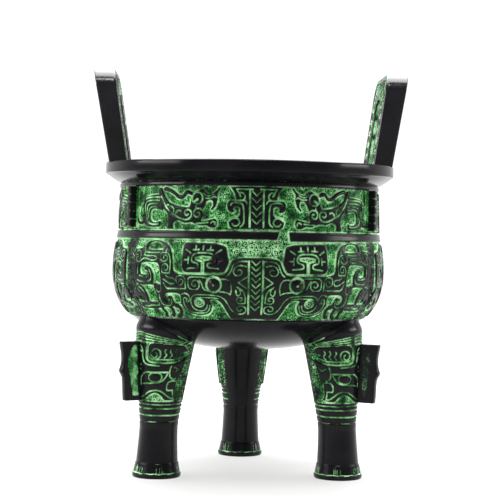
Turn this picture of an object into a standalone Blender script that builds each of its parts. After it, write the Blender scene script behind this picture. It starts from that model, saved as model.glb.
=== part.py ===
# Round three-legged bronze ding with a taotie register, a dragon register and two upright handles.
# The whole vessel is one hollow casting. Metres, +Z up, feet on z = 0, front mask towards -Y.

import math

import bmesh
import bpy
from mathutils import Matrix, Vector

MM = 0.001

# Heights, stacked from the bottom of the bowl to the top of the handles
BOWL_BOTTOM = 78.0 * MM
BOWL_CURVE = 22.0 * MM
BELLY_REGISTER = 48.0 * MM
PLAIN_BAND = 6.4 * MM
NECK_REGISTER = 26.1 * MM
CORNICE = 9.1 * MM
RIM_THICKNESS = 7.4 * MM
HANDLE_RISE = 58.7 * MM

# Radii and wall of the bowl, measured on the ground of the relief
BELLY_RADIUS = 86.1 * MM
BELLY_WIDEST_UP = 30.0 * MM
BELLY_TAPER = 2.9 * MM
NECK_TAPER = 0.8 * MM
RIM_OVERHANG = 10.6 * MM
WALL = 4.2 * MM
BOWL_ROUNDNESS = 2.4
BOWL_EDGE = 0.6 * MM
BELLY_ROWS = (0.16, 0.5)
BEAD_DEPTH = 1.2 * MM
BEAD_HEIGHT = 3.4 * MM
MOUTH_CUT_OVER = 1.0 * MM
SIDES = 36

# Relief
RELIEF = 1.7 * MM
RELIEF_ROOT = 1.4 * MM
SLEEVE_LAP = 0.4 * MM
BAND_RELIEF = 1.6 * MM
EYE_RELIEF = 3.0 * MM
NECK_FLANGE_DEPTH = 5.4 * MM
NECK_FLANGE_WIDTH = 3.8 * MM
NECK_FLANGE_NOTCHES = 4
NOTCH_DEPTH = 1.1 * MM
NOTCH_WIDTH = 1.2 * MM

# Legs
LEG_ANGLES = (210.0, 330.0, 90.0)
MASK_ANGLES = (270.0, 30.0, 150.0)
LEG_INSET = 27.2 * MM
LEG_SPLAY = 6.8 * MM
LEG_TOP_SINK = 3.0 * MM
LEG_LEAN_POWER = 1.6
FOOT_RADIUS = 15.2 * MM
FOOT_HEIGHT = 9.0 * MM
FOOT_STEP = 0.7 * MM
SHAFT_RADIUS = 11.9 * MM
SHAFT_WAIST = 35.0 * MM
THIGH_RADIUS = 18.3 * MM
SHOULDER_SWELL = 0.9 * MM
LEG_GROOVE = 0.8 * MM
LEG_GROOVE_WIDTH = 1.4 * MM
LEG_SIDES = 12
LEG_SHOULDER = 19.5 * MM
LEG_MASK_HEIGHT = 35.5 * MM
LEG_GROOVE_DROPS = (2.8 * MM, 9.0 * MM)
LEG_RELIEF = 1.8 * MM
LEG_FLANGE_DEPTH = 15.3 * MM
LEG_FLANGE_ROOT = 3.0 * MM
LEG_FLANGE_WIDTH = 4.4 * MM

# Handles
HANDLE_WIDTH = 55.0 * MM
HANDLE_LIMB = 16.5 * MM
HANDLE_CROWN = 14.0 * MM
HANDLE_CORNER = 13.0 * MM
HANDLE_THICK_LOW = 10.7 * MM
HANDLE_THICK_HIGH = 13.0 * MM
HANDLE_SETBACK = 1.0 * MM
HANDLE_LEAN = 8.4 * MM
HANDLE_EDGE = 1.0 * MM
HANDLE_RELIEF = 0.7 * MM
HANDLE_BORDER = 3.4 * MM

# Worked-out levels
BELLY_LOW = BOWL_BOTTOM + BOWL_CURVE
BELLY_HIGH = BELLY_LOW + BELLY_REGISTER
NECK_LOW = BELLY_HIGH + PLAIN_BAND
NECK_HIGH = NECK_LOW + NECK_REGISTER
RIM_LOW = NECK_HIGH + CORNICE
RIM_TOP = RIM_LOW + RIM_THICKNESS
WIDEST_Z = BELLY_LOW + BELLY_WIDEST_UP
NECK_RADIUS = BELLY_RADIUS - BELLY_TAPER
NECK_TOP_RADIUS = NECK_RADIUS - NECK_TAPER
RIM_RADIUS = NECK_TOP_RADIUS + RIM_OVERHANG
MOUTH_RADIUS = NECK_TOP_RADIUS - WALL
LEG_TOP = BELLY_LOW + LEG_TOP_SINK
LEG_TOP_RING = BELLY_RADIUS - LEG_INSET
FOOT_RING = LEG_TOP_RING + LEG_SPLAY
LEG_MASK_HIGH = LEG_TOP - LEG_SHOULDER
LEG_MASK_LOW = LEG_MASK_HIGH - LEG_MASK_HEIGHT
BELLY_ROW_HEIGHTS = [BELLY_LOW + share * BELLY_REGISTER for share in BELLY_ROWS]
GIRTH = 2 * math.pi * BELLY_RADIUS

# The patterns are drawn on these grids of millimetres: half a unit across, a register up
BELLY_GRID = (GIRTH / 6 / 90.0, BELLY_REGISTER / 48.0)
NECK_GRID = (GIRTH / 6 / 90.0, NECK_REGISTER / 26.0)
LEG_GRID = (math.pi * THIGH_RADIUS / 57.5, LEG_MASK_HEIGHT / 35.5)


def new_material(name, colour, roughness, metallic):
    material = bpy.data.materials.new(name)
    material.use_nodes = True
    shader = material.node_tree.nodes["Principled BSDF"]
    shader.inputs["Base Color"].default_value = (*colour, 1.0)
    shader.inputs["Roughness"].default_value = roughness
    shader.inputs["Metallic"].default_value = metallic
    material.diffuse_color = (*colour, 1.0)
    return material


def new_object(name, mesh, collection):
    item = bpy.data.objects.new(name, mesh)
    collection.objects.link(item)
    return item


def hide_as_tool(item):
    item.hide_render = True
    item.display_type = 'WIRE'


def mesh_from(shape, name):
    # Bakes a bmesh into a new mesh with its faces pointing out.
    bmesh.ops.recalc_face_normals(shape, faces=shape.faces)
    mesh = bpy.data.meshes.new(name)
    shape.to_mesh(mesh)
    shape.free()
    return mesh


def evaluated_bmesh(item):
    # The item as its modifiers leave it, with its own mesh data freed.
    graph = bpy.context.evaluated_depsgraph_get()
    mesh = bpy.data.meshes.new_from_object(item.evaluated_get(graph))
    shape = bmesh.new()
    shape.from_mesh(mesh)
    bmesh.ops.remove_doubles(shape, verts=shape.verts, dist=0.01 * MM)
    bpy.data.meshes.remove(mesh)
    return shape


def turned(name, profile, sides, collection):
    # Turns a profile of (radius, height) points, which run down the outer side, about the Z axis.
    shape = bmesh.new()
    points = [shape.verts.new((radius, 0.0, height)) for radius, height in profile]
    for upper, lower in zip(points, points[1:]):
        shape.edges.new((upper, lower))
    mesh = bpy.data.meshes.new(name)
    shape.to_mesh(mesh)
    shape.free()
    item = new_object(name, mesh, collection)
    screw = item.modifiers.new("Turn", 'SCREW')
    screw.steps = sides
    screw.render_steps = sides
    screw.use_merge_vertices = True
    screw.merge_threshold = 0.02 * MM
    return item


def bowl_radius(height):
    # Ground radius of the bowl's outside at a height: a full round below, nearly straight above.
    if height <= WIDEST_Z:
        drop = min((WIDEST_Z - height) / (WIDEST_Z - BOWL_BOTTOM), 1.0)
        return BELLY_RADIUS * (1.0 - drop ** BOWL_ROUNDNESS) ** (1.0 / BOWL_ROUNDNESS)
    band_middle = BELLY_HIGH + PLAIN_BAND / 2
    if height <= band_middle:
        rise = (height - WIDEST_Z) / (band_middle - WIDEST_Z)
        return BELLY_RADIUS - BELLY_TAPER * rise ** 2
    rise = (height - band_middle) / (NECK_HIGH - band_middle)
    return NECK_RADIUS - NECK_TAPER * min(rise, 1.0)


def bowl_outside():
    # Outer profile from the rim's top edge down to the middle of the bottom.
    profile = [(RIM_RADIUS, RIM_TOP), (RIM_RADIUS, RIM_LOW)]
    bead = NECK_TOP_RADIUS + BEAD_DEPTH
    profile.append((bead, NECK_HIGH + BEAD_HEIGHT))
    core = RELIEF_ROOT / 2
    band_radius = NECK_RADIUS + BAND_RELIEF
    profile.append((bead, NECK_HIGH))
    profile.append((bowl_radius(NECK_HIGH) - core, NECK_HIGH))
    profile.append((bowl_radius(NECK_LOW) - core, NECK_LOW))
    profile.append((band_radius, NECK_LOW))
    profile.append((band_radius, BELLY_HIGH))
    for height in [BELLY_HIGH] + BELLY_ROW_HEIGHTS[::-1] + [BELLY_LOW]:
        profile.append((bowl_radius(height) - core, height))
    profile.append((bowl_radius(BELLY_LOW) + BOWL_EDGE, BELLY_LOW))
    curve_rows = 4
    for row in range(1, curve_rows + 1):
        radius = bowl_radius(BELLY_LOW) * math.cos(row / curve_rows * math.pi / 2)
        share = (radius / BELLY_RADIUS) ** BOWL_ROUNDNESS
        depth = (1.0 - share) ** (1.0 / BOWL_ROUNDNESS) * (WIDEST_Z - BOWL_BOTTOM)
        profile.append((radius if row < curve_rows else 0.0, WIDEST_Z - depth))
    return profile


def bowl_inside():
    # Inner profile, one wall in from the outside, from above the mouth down to the middle.
    top = RIM_TOP + MOUTH_CUT_OVER
    profile = [(0.0, top), (MOUTH_RADIUS, top), (MOUTH_RADIUS, NECK_HIGH)]
    floor = BOWL_BOTTOM + WALL
    widest = BELLY_RADIUS - WALL
    rows = 6
    profile.append((bowl_radius(BELLY_HIGH) - WALL, BELLY_HIGH))
    for row in range(rows + 1):
        radius = widest * math.cos(row / rows * math.pi / 2)
        depth = (1.0 - (radius / widest) ** BOWL_ROUNDNESS) ** (1.0 / BOWL_ROUNDNESS)
        height = WIDEST_Z - depth * (WIDEST_Z - floor)
        profile.append((radius if row < rows else 0.0, height))
    return profile


def arc(centre, radius, start, end, steps):
    # Points along an arc, angles in degrees, anticlockwise from the +first axis.
    points = []
    for step in range(steps + 1):
        angle = math.radians(start + (end - start) * step / steps)
        points.append((centre[0] + radius * math.cos(angle), centre[1] + radius * math.sin(angle)))
    return points


def rounded_rectangle(low, high, corner, steps=2):
    (left, bottom), (right, top) = low, high
    outline = arc((right - corner, bottom + corner), corner, -90, 0, steps)
    outline += arc((right - corner, top - corner), corner, 0, 90, steps)
    outline += arc((left + corner, top - corner), corner, 90, 180, steps)
    outline += arc((left + corner, bottom + corner), corner, 180, 270, steps)
    return outline


def ribbon(path, width):
    # Outline of a stroke of even width along a path, cut square at its ends.
    left, right = [], []
    for index, point in enumerate(path):
        before = Vector(path[max(index - 1, 0)])
        after = Vector(path[min(index + 1, len(path) - 1)])
        along = (after - before).normalized()
        across = Vector((-along.y, along.x)) * width / 2
        left.append(tuple(Vector(point) + across))
        right.append(tuple(Vector(point) - across))
    return left + right[::-1]


def mirrored(outline):
    return [(-across, up) for across, up in reversed(outline)]


def flat_solid(outlines, low, high):
    # A plate between two levels of its own third axis, cut from a filled flat curve with its holes.
    flat = bpy.data.curves.new("flat", 'CURVE')
    flat.dimensions = '2D'
    flat.fill_mode = 'BOTH'
    flat.extrude = (high - low) / 2
    for outline in outlines:
        spline = flat.splines.new('POLY')
        spline.points.add(len(outline) - 1)
        spline.use_cyclic_u = True
        for point, (across, up) in zip(spline.points, outline):
            point.co = (across, up, 0.0, 1.0)
    item = new_object("flat", flat, bpy.context.scene.collection)
    bpy.context.view_layer.update()
    shape = evaluated_bmesh(item)
    bpy.data.objects.remove(item)
    bpy.data.curves.remove(flat)
    bmesh.ops.translate(shape, verts=shape.verts, vec=(0.0, 0.0, (high + low) / 2))
    bmesh.ops.dissolve_limit(shape, angle_limit=math.radians(0.5), verts=shape.verts,
                             edges=shape.edges)
    return shape


def score(shape, axis, places):
    # Cuts a flat plate across at the given places, so that it can follow a curve when it is wrapped.
    reach = [vertex.co[axis] for vertex in shape.verts]
    normal = Vector((0.0, 0.0, 0.0))
    normal[axis] = 1.0
    margin = 0.05 * MM
    for place in places:
        if min(reach) + margin < place < max(reach) - margin:
            geometry = shape.verts[:] + shape.edges[:] + shape.faces[:]
            bmesh.ops.bisect_plane(shape, geom=geometry, dist=0.02 * MM, plane_co=normal * place,
                                   plane_no=normal)


def on_bowl(angle):
    # Places (arc length, height, proud) on the bowl's ground, right-hand side seen from outside.
    def place(across, up, proud):
        turn = math.radians(angle) + across / BELLY_RADIUS
        radius = bowl_radius(up) + proud
        return Vector((radius * math.cos(turn), radius * math.sin(turn), up))
    return place


def leg_radius(height):
    # Thigh wide under the bowl, waist above the foot, then a flared foot with a collar.
    if height <= FOOT_HEIGHT:
        return FOOT_RADIUS
    if height <= SHAFT_WAIST:
        share = (SHAFT_WAIST - height) / (SHAFT_WAIST - FOOT_HEIGHT)
        return SHAFT_RADIUS + (FOOT_RADIUS - FOOT_STEP - SHAFT_RADIUS) * share ** 1.7
    share = (height - SHAFT_WAIST) / (LEG_MASK_HIGH - SHAFT_WAIST)
    return SHAFT_RADIUS + (THIGH_RADIUS - SHAFT_RADIUS) * min(share, 1.0) ** 0.95


def leg_ring(height):
    # Distance of the leg's axis from the vessel's axis.
    share = max(min(height / LEG_TOP, 1.0), 0.0)
    return FOOT_RING - (FOOT_RING - LEG_TOP_RING) * share ** LEG_LEAN_POWER


def on_leg(angle):
    # Places (arc length from the outer side, height, proud) on a leg.
    outward = Vector((math.cos(math.radians(angle)), math.sin(math.radians(angle)), 0.0))
    sideways = Vector((-outward.y, outward.x, 0.0))

    def place(across, up, proud):
        turn = across / THIGH_RADIUS
        radius = leg_radius(up) + proud
        spot = outward * (leg_ring(up) + radius * math.cos(turn)) + sideways * (radius * math.sin(turn))
        return Vector((spot.x, spot.y, up))
    return place


def leg_body(angle, collection):
    half = LEG_GROOVE_WIDTH / 2
    profile = [(0.0, LEG_TOP), (THIGH_RADIUS * 0.75, LEG_TOP),
               (THIGH_RADIUS + SHOULDER_SWELL * 0.4, LEG_TOP - LEG_SHOULDER * 0.26),
               (THIGH_RADIUS + SHOULDER_SWELL, LEG_TOP - LEG_SHOULDER * 0.6),
               (leg_radius(LEG_MASK_HIGH), LEG_MASK_HIGH),
               (leg_radius(LEG_MASK_LOW), LEG_MASK_LOW)]
    for height in [LEG_MASK_LOW - drop for drop in LEG_GROOVE_DROPS]:
        profile.append((leg_radius(height + half), height + half))
        profile.append((leg_radius(height) - LEG_GROOVE, height))
        profile.append((leg_radius(height - half), height - half))
    shaft_rows = 2
    collar_top = FOOT_HEIGHT + 0.3 * MM
    for row in range(1, shaft_rows + 1):
        height = SHAFT_WAIST - row * (SHAFT_WAIST - collar_top) / shaft_rows
        profile.append((leg_radius(height), height))
    profile += [(FOOT_RADIUS, FOOT_HEIGHT), (FOOT_RADIUS, 0.0), (0.0, 0.0)]
    turned_leg = turned("leg_form", profile, LEG_SIDES, collection)
    bpy.context.view_layer.update()
    shape = evaluated_bmesh(turned_leg)
    bpy.data.objects.remove(turned_leg)
    for vertex in shape.verts:
        vertex.co.x += leg_ring(vertex.co.z)
    bmesh.ops.rotate(shape, verts=shape.verts, matrix=Matrix.Rotation(math.radians(angle), 3, 'Z'))
    return shape


def upright_plate(outline, width, angle):
    # A plate that stands in the radial plane: its outline is in (radius, height).
    shape = flat_solid([outline], -width / 2, width / 2)
    for vertex in shape.verts:
        vertex.co = Vector((vertex.co.x, -vertex.co.z, vertex.co.y))
    bmesh.ops.rotate(shape, verts=shape.verts, matrix=Matrix.Rotation(math.radians(angle), 3, 'Z'))
    return shape


def neck_flange(angle):
    # A short notched flange across the neck register, in line with a leg.
    outer = NECK_RADIUS + NECK_FLANGE_DEPTH
    inner = NECK_TOP_RADIUS - RELIEF_ROOT
    low, high = NECK_LOW + 0.6 * MM, NECK_HIGH - 0.3 * MM
    outline = [(inner, low), (outer - 1.0 * MM, low), (outer, low + 1.2 * MM)]
    pitch = (high - low) / (NECK_FLANGE_NOTCHES + 1)
    for notch in range(1, NECK_FLANGE_NOTCHES + 1):
        middle = low + notch * pitch
        outline += [(outer, middle - NOTCH_WIDTH / 2), (outer - NOTCH_DEPTH, middle - NOTCH_WIDTH / 2),
                    (outer - NOTCH_DEPTH, middle + NOTCH_WIDTH / 2), (outer, middle + NOTCH_WIDTH / 2)]
    outline += [(outer, high - 1.2 * MM), (outer - 1.0 * MM, high), (inner, high)]
    return upright_plate(outline, NECK_FLANGE_WIDTH, angle)


def leg_flange(angle):
    # The wavy radial ridge down the middle of a leg's mask.
    ground = leg_ring(LEG_MASK_LOW) + leg_radius(LEG_MASK_LOW)
    wave = ((0.0, 0.81), (0.20, 0.84), (0.40, 0.87), (0.46, 0.93), (0.52, 1.0), (0.58, 0.97),
            (0.66, 0.91), (0.78, 0.91), (0.90, 0.94), (1.0, 1.0), (1.03, 0.99))
    root = ground - LEG_FLANGE_ROOT
    outline = [(root, LEG_MASK_LOW)]
    for up, out in wave:
        outline.append((ground + out * LEG_FLANGE_DEPTH, LEG_MASK_LOW + up * LEG_MASK_HEIGHT))
    outline.append((root, LEG_MASK_LOW + wave[-1][0] * LEG_MASK_HEIGHT))
    return upright_plate(outline, LEG_FLANGE_WIDTH, angle)


def combined(first, others, operation):
    # Flat forms joined, or the others cut from the first, before they are bent onto a surface.
    group = bpy.data.collections.new("flat_forms")
    whole = new_object("whole", mesh_from(first, "whole"), bpy.context.scene.collection)
    bpy.context.scene.collection.children.link(group)
    for shape in others:
        new_object("form", mesh_from(shape, "form"), group)
    boolean = whole.modifiers.new("Combine", 'BOOLEAN')
    boolean.operation = operation
    boolean.operand_type = 'COLLECTION'
    boolean.collection = group
    bpy.context.view_layer.update()
    shape = evaluated_bmesh(whole)
    for item in list(group.objects) + [whole]:
        bpy.data.objects.remove(item)
    bpy.data.collections.remove(group)
    bmesh.ops.dissolve_limit(shape, angle_limit=math.radians(0.5), verts=shape.verts,
                             edges=shape.edges)
    return shape


def both_sides(outlines):
    # A pattern is drawn once, to the right of its middle line, and mirrored to the left.
    sides = []
    for outline in outlines:
        sides.append(outline)
        if min(across for across, up in outline) > 0.0:
            sides.append(mirrored(outline))
    return sides


def plates(outlines, grid, centre, foot, low, high):
    # Outlines drawn on a pattern's grid, from the middle of their unit and over its foot.
    shapes = []
    for outline in both_sides(outlines):
        points = [(centre + across * grid[0], foot + up * grid[1]) for across, up in outline]
        shapes.append(flat_solid([points], low, high))
    return shapes


def bent(shape, place, columns, rows):
    # Scores a flat form along the facets of a surface, splits it to triangles and bends it on.
    score(shape, 0, columns)
    score(shape, 1, rows)
    bmesh.ops.triangulate(shape, faces=shape.faces)
    for vertex in shape.verts:
        vertex.co = place(*vertex.co)
    return shape


def register_sleeve(foot, height, grid, layers, wells, rows):
    # A register made flat over the whole girth, ground and relief in one, then rolled into a tube.
    low, high = foot - SLEEVE_LAP, foot + height + SLEEVE_LAP
    corners = [(-GIRTH / 2, low), (GIRTH / 2, low), (GIRTH / 2, high), (-GIRTH / 2, high)]
    ground = flat_solid([corners], -RELIEF_ROOT, 0.0)
    raised = []
    for unit in (-1, 0, 1):
        centre = unit * GIRTH / 3
        forms = []
        for outlines, proud in layers:
            forms += plates(outlines, grid, centre, foot, -RELIEF_ROOT / 2, proud)
        form = combined(forms[0], forms[1:], 'UNION')
        if wells:
            cutters = plates(wells, grid, centre, foot, -RELIEF_ROOT, 2 * EYE_RELIEF)
            form = combined(form, cutters, 'DIFFERENCE')
        raised.append(form)
    shape = combined(ground, raised, 'UNION')
    score(shape, 0, facet_lines(BELLY_RADIUS, SIDES))
    score(shape, 1, rows)
    seam = GIRTH / 2 - 0.01 * MM
    ends = [face for face in shape.faces if all(abs(vertex.co.x) > seam for vertex in face.verts)]
    bmesh.ops.delete(shape, geom=ends, context='FACES')
    bmesh.ops.triangulate(shape, faces=shape.faces)
    place = on_bowl(MASK_ANGLES[0])
    for vertex in shape.verts:
        vertex.co = place(*vertex.co)
    bmesh.ops.remove_doubles(shape, verts=shape.verts, dist=0.01 * MM)
    return shape


def ring_outline(centre, radius, sides=10):
    return arc(centre, radius, 0.0, 360.0 - 360.0 / sides, sides - 1)


def mask_face():
    # Nose, cheek, body arch, forearm and jaw of one taotie mask.
    side = [(10.0, 1.4), (16.0, 4.0), (15.0, 16.0), (19.0, 28.0), (14.4, 37.0), (9.0, 38.0)]
    nose = side + mirrored(side)
    cheek = [(17.0, 17.0), (59.6, 17.4), (59.6, 25.0), (55.4, 32.0), (50.0, 30.6), (44.6, 28.2),
             (18.0, 28.2)]
    arch = rounded_rectangle((53.4, 22.6), (84.2, 47.4), 7.0)
    forearm = ribbon([(63.6, 24.0), (64.4, 14.6), (60.0, 9.6), (53.4, 10.6)], 4.0)
    jaw = ribbon([(14.0, 6.0), (21.0, 13.4), (37.6, 14.2), (40.6, 9.6), (36.0, 5.0), (28.0, 4.4)], 3.0)
    return [nose, cheek, arch, forearm, jaw]


def mask_wells():
    # The dome and the hooked hollow in the body arch.
    dome = arc((66.4, 41.4), 5.6, 0.0, 180.0, 4)
    hollow = ribbon([(75.6, 30.4), (72.0, 33.4), (65.6, 31.0), (63.4, 24.6)], 4.6)
    return [dome, hollow]


def eye_ring():
    return ring_outline((25.2, 22.6), 4.6, 8)


def horn():
    return rounded_rectangle((17.6, 30.4), (44.8, 46.0), 3.8, 1)


def horn_well():
    # The T-shaped hollow inside a horn.
    bar_low, bar_high = 36.0, 38.8
    return [(30.8, 32.6), (33.6, 32.6), (33.6, bar_low), (37.0, bar_low), (37.0, bar_high),
            (25.0, bar_high), (25.0, bar_low), (30.8, bar_low)]


def leaf():
    return [(71.6, 18.0), (79.0, 20.0), (86.0, 16.0), (80.0, 9.8), (72.4, 10.4)]


def dragon():
    # One dragon of the neck register, its head towards the middle column.
    body = ribbon([(36.6, 20.0), (38.8, 11.4), (46.6, 8.6), (56.0, 12.6), (63.2, 24.8)], 5.4)
    beak = ribbon([(35.6, 20.6), (25.6, 20.4), (26.6, 12.4)], 2.8)
    foreleg = ribbon([(41.0, 9.0), (34.0, 5.0), (24.4, 4.4)], 3.0)
    hindleg = ribbon([(53.4, 10.0), (53.4, 2.4)], 3.0)
    tail = ribbon([(60.0, 18.4), (75.8, 18.6), (77.0, 5.0), (67.0, 4.4)], 2.6)
    return [body, beak, foreleg, hindleg, tail]


def neck_scrolls():
    # The scroll beside the middle column and the dragon's crest.
    scroll = ribbon([(15.6, 15.4), (9.0, 15.6), (8.2, 3.4), (14.6, 3.8)], 2.6)
    crest = ribbon([(45.0, 16.6), (56.6, 24.0)], 2.2)
    return [scroll, crest]


def middle_column(low, high, half_width=3.9):
    return [(-half_width, low), (half_width, low), (half_width, high), (-half_width, high)]


def leg_mask():
    # Horn bar, face and jaw of a leg's mask, either side of its flange.
    horn_bar = rounded_rectangle((4.6, 24.6), (38.0, 34.6), 3.0, 1)
    face = rounded_rectangle((3.4, 8.0), (35.6, 22.8), 3.6, 1)
    jaw = ribbon([(4.0, 2.4), (18.0, 5.4), (34.0, 1.8)], 3.8)
    return [horn_bar, face, jaw]


def thigh_band():
    # The hatched band round the top of a leg, narrowing towards the inner side.
    side = [(41.0, 39.8), (41.0, 41.6), (20.0, 43.0)]
    return [(0.0, 36.8)] + side + mirrored(side)


def handle_arch(inset, foot, corner_steps):
    # Outline of an upright handle, a border in from its edges, over the rim's top.
    outer = HANDLE_WIDTH / 2 - inset
    inner = HANDLE_WIDTH / 2 - HANDLE_LIMB + inset
    corner = HANDLE_CORNER - inset
    crown = HANDLE_RISE - inset
    spring = HANDLE_RISE - HANDLE_CROWN + inset - inner
    outline = [(outer, foot)] + arc((outer - corner, crown - corner), corner, 0.0, 90.0, corner_steps)
    outline += arc((corner - outer, crown - corner), corner, 90.0, 180.0, corner_steps)
    outline += [(-outer, foot)]
    return outline + [(-inner, foot)] + arc((0.0, spring), inner, 180.0, 0.0, 2 * corner_steps) + [(inner, foot)]


def stand_handle(shape, side):
    # Leans a flat arch outwards and thickens it upwards; its third axis is a share of the thickness.
    for vertex in shape.verts:
        across, up, share = vertex.co
        rise = up / HANDLE_RISE
        thick = HANDLE_THICK_LOW + (HANDLE_THICK_HIGH - HANDLE_THICK_LOW) * rise
        out = MOUTH_RADIUS + HANDLE_SETBACK + HANDLE_LEAN * rise + thick * share
        vertex.co = Vector((side * out, side * across, RIM_TOP + up))
    return shape


def handle_form(side):
    root = RIM_THICKNESS * 0.6
    shape = stand_handle(flat_solid([handle_arch(0.0, -root, 4)], 0.0, 1.0), side)
    bmesh.ops.recalc_face_normals(shape, faces=shape.faces)
    edges = [edge for edge in shape.edges if edge.calc_face_angle(0.0) > math.radians(50.0)]
    bmesh.ops.bevel(shape, geom=edges, offset=HANDLE_EDGE, segments=1, affect='EDGES')
    return shape


def handle_face(side, outer):
    # The raised figure that fills one broad face of a handle, inside a plain border.
    proud = HANDLE_RELIEF / HANDLE_THICK_LOW
    low, high = (0.9, 1.0 + proud) if outer else (-proud, 0.1)
    figure = flat_solid([handle_arch(HANDLE_BORDER, HANDLE_BORDER, 2)], low, high)
    return stand_handle(figure, side)


def gathered(name, shapes, collection):
    # Closed forms as one object that the vessel is joined with.
    whole = bmesh.new()
    for shape in shapes:
        mesh = mesh_from(shape, name)
        whole.from_mesh(mesh)
        bpy.data.meshes.remove(mesh)
    mesh = bpy.data.meshes.new(name)
    whole.to_mesh(mesh)
    whole.free()
    item = new_object(name, mesh, collection)
    hide_as_tool(item)
    return item


def facet_lines(radius, sides):
    # Where the facets of a turned form meet, as arc lengths either side of a middle line.
    step = 2 * math.pi * radius / sides
    return [number * step for number in range(1 - sides // 2, sides // 2)]


def bowl_reliefs(collection):
    mask = [(mask_face() + [horn(), leaf()], RELIEF), ([eye_ring()], EYE_RELIEF),
            ([middle_column(3.0, 36.4)], RELIEF + 0.6 * MM)]
    wells = mask_wells() + [horn_well()]
    belly = register_sleeve(BELLY_LOW, BELLY_REGISTER, BELLY_GRID, mask, wells, BELLY_ROW_HEIGHTS)
    figures = [(dragon() + neck_scrolls() + [middle_column(0.8, 25.3)], RELIEF)]
    neck = register_sleeve(NECK_LOW, NECK_REGISTER, NECK_GRID, figures, [], [])
    gathered("belly_register", [belly], collection)
    gathered("neck_register", [neck], collection)


def leg_reliefs(collection):
    lines = facet_lines(THIGH_RADIUS, LEG_SIDES)
    for angle in LEG_ANGLES:
        drawn = (LEG_GRID, 0.0, LEG_MASK_LOW, -RELIEF_ROOT)
        forms = plates(leg_mask() + [thigh_band()], *drawn, LEG_RELIEF)
        forms += plates([ring_outline((17.0, 15.0), 4.2, 6)], *drawn, EYE_RELIEF)
        mask = bent(combined(forms[0], forms[1:], 'UNION'), on_leg(angle), lines, [])
        gathered("leg_mask", [mask], collection)


def weld_seams(item):
    # Draws together points that the step before left a hair apart.
    weld = item.modifiers.new("Weld", 'WELD')
    weld.merge_threshold = 0.008 * MM


def build():
    for item in list(bpy.data.objects):
        bpy.data.objects.remove(item, do_unlink=True)
    parts = bpy.data.collections.new("bronze_ding")
    joins = bpy.data.collections.new("ding_joined_forms")
    tools = bpy.data.collections.new("ding_cutters")
    for collection in (parts, joins, tools):
        bpy.context.scene.collection.children.link(collection)

    vessel = turned("ding_vessel", [(0.0, RIM_TOP)] + bowl_outside(), SIDES, parts)
    for angle in LEG_ANGLES:
        gathered("leg", [leg_body(angle, joins)], joins)
        gathered("neck_flange", [neck_flange(angle)], joins)
        gathered("leg_flange", [leg_flange(angle)], joins)
    bowl_reliefs(joins)
    leg_reliefs(joins)
    for side in (-1, 1):
        gathered("handle", [handle_form(side)], joins)
        for outer in (False, True):
            gathered("handle_face", [handle_face(side, outer)], joins)
    boolean = vessel.modifiers.new("Cast in one", 'BOOLEAN')
    boolean.operation = 'UNION'
    boolean.operand_type = 'COLLECTION'
    boolean.collection = joins

    hollow = turned("bowl_hollow", bowl_inside(), SIDES, tools)
    hide_as_tool(hollow)
    weld_seams(vessel)
    boolean = vessel.modifiers.new("Hollow the bowl", 'BOOLEAN')
    boolean.operation = 'DIFFERENCE'
    boolean.object = hollow

    bronze = new_material("Blackened bronze", (0.035, 0.036, 0.040), 0.32, 0.6)
    vessel.data.materials.append(bronze)
    merge = vessel.modifiers.new("Merge flat facets", 'DECIMATE')
    merge.decimate_type = 'DISSOLVE'
    merge.angle_limit = math.radians(0.4)
    vessel.data.shade_smooth()
    vessel.data.set_sharp_from_angle(angle=math.radians(32.0))


build()
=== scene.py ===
import math

import bpy
import numpy as np
from mathutils import Matrix, Vector


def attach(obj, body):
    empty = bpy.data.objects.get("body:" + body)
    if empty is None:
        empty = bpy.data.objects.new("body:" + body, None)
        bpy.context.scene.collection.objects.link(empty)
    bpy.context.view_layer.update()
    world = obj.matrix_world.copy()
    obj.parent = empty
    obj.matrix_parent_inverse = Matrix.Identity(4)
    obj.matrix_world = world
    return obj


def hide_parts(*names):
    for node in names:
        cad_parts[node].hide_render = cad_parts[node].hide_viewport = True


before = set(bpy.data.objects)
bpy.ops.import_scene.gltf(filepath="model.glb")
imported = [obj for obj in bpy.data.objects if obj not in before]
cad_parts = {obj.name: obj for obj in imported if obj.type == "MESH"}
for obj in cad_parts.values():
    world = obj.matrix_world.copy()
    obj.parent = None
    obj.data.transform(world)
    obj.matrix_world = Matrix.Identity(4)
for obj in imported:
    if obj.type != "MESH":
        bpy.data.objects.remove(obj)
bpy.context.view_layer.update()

# Bowl shell
# The plain parts of the one casting: flat overhanging rim, cove under it, smooth round bottom and
# the inside. Cast bronze under a brown-black lacquer, polished by hand on rim and bottom. The outside
# is set back where the two registers lie, which are carved pieces of their own below.
MM = 0.001
BELLY_LOW, BELLY_HIGH = 100.0, 148.0
NECK_LOW, NECK_HIGH = 154.4, 180.5
BEAD_PROUD, COVE_FOOT = 1.3, NECK_HIGH + 3.4
RIM_LOW, RIM_TOP, RIM_SAG = 189.6, 197.0, 1.2
BOWL_BOTTOM = 78.0
WIDEST = 130.0
BELLY_RADIUS, NECK_RADIUS, NECK_TOP_RADIUS = 86.1, 83.2, 82.4
RIM_RADIUS, MOUTH_RADIUS = 92.95, 78.3
WALL = 4.2
ROUNDNESS = 2.4
LATHE_SIDES = 216
SET_BACK = 1.7


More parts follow.
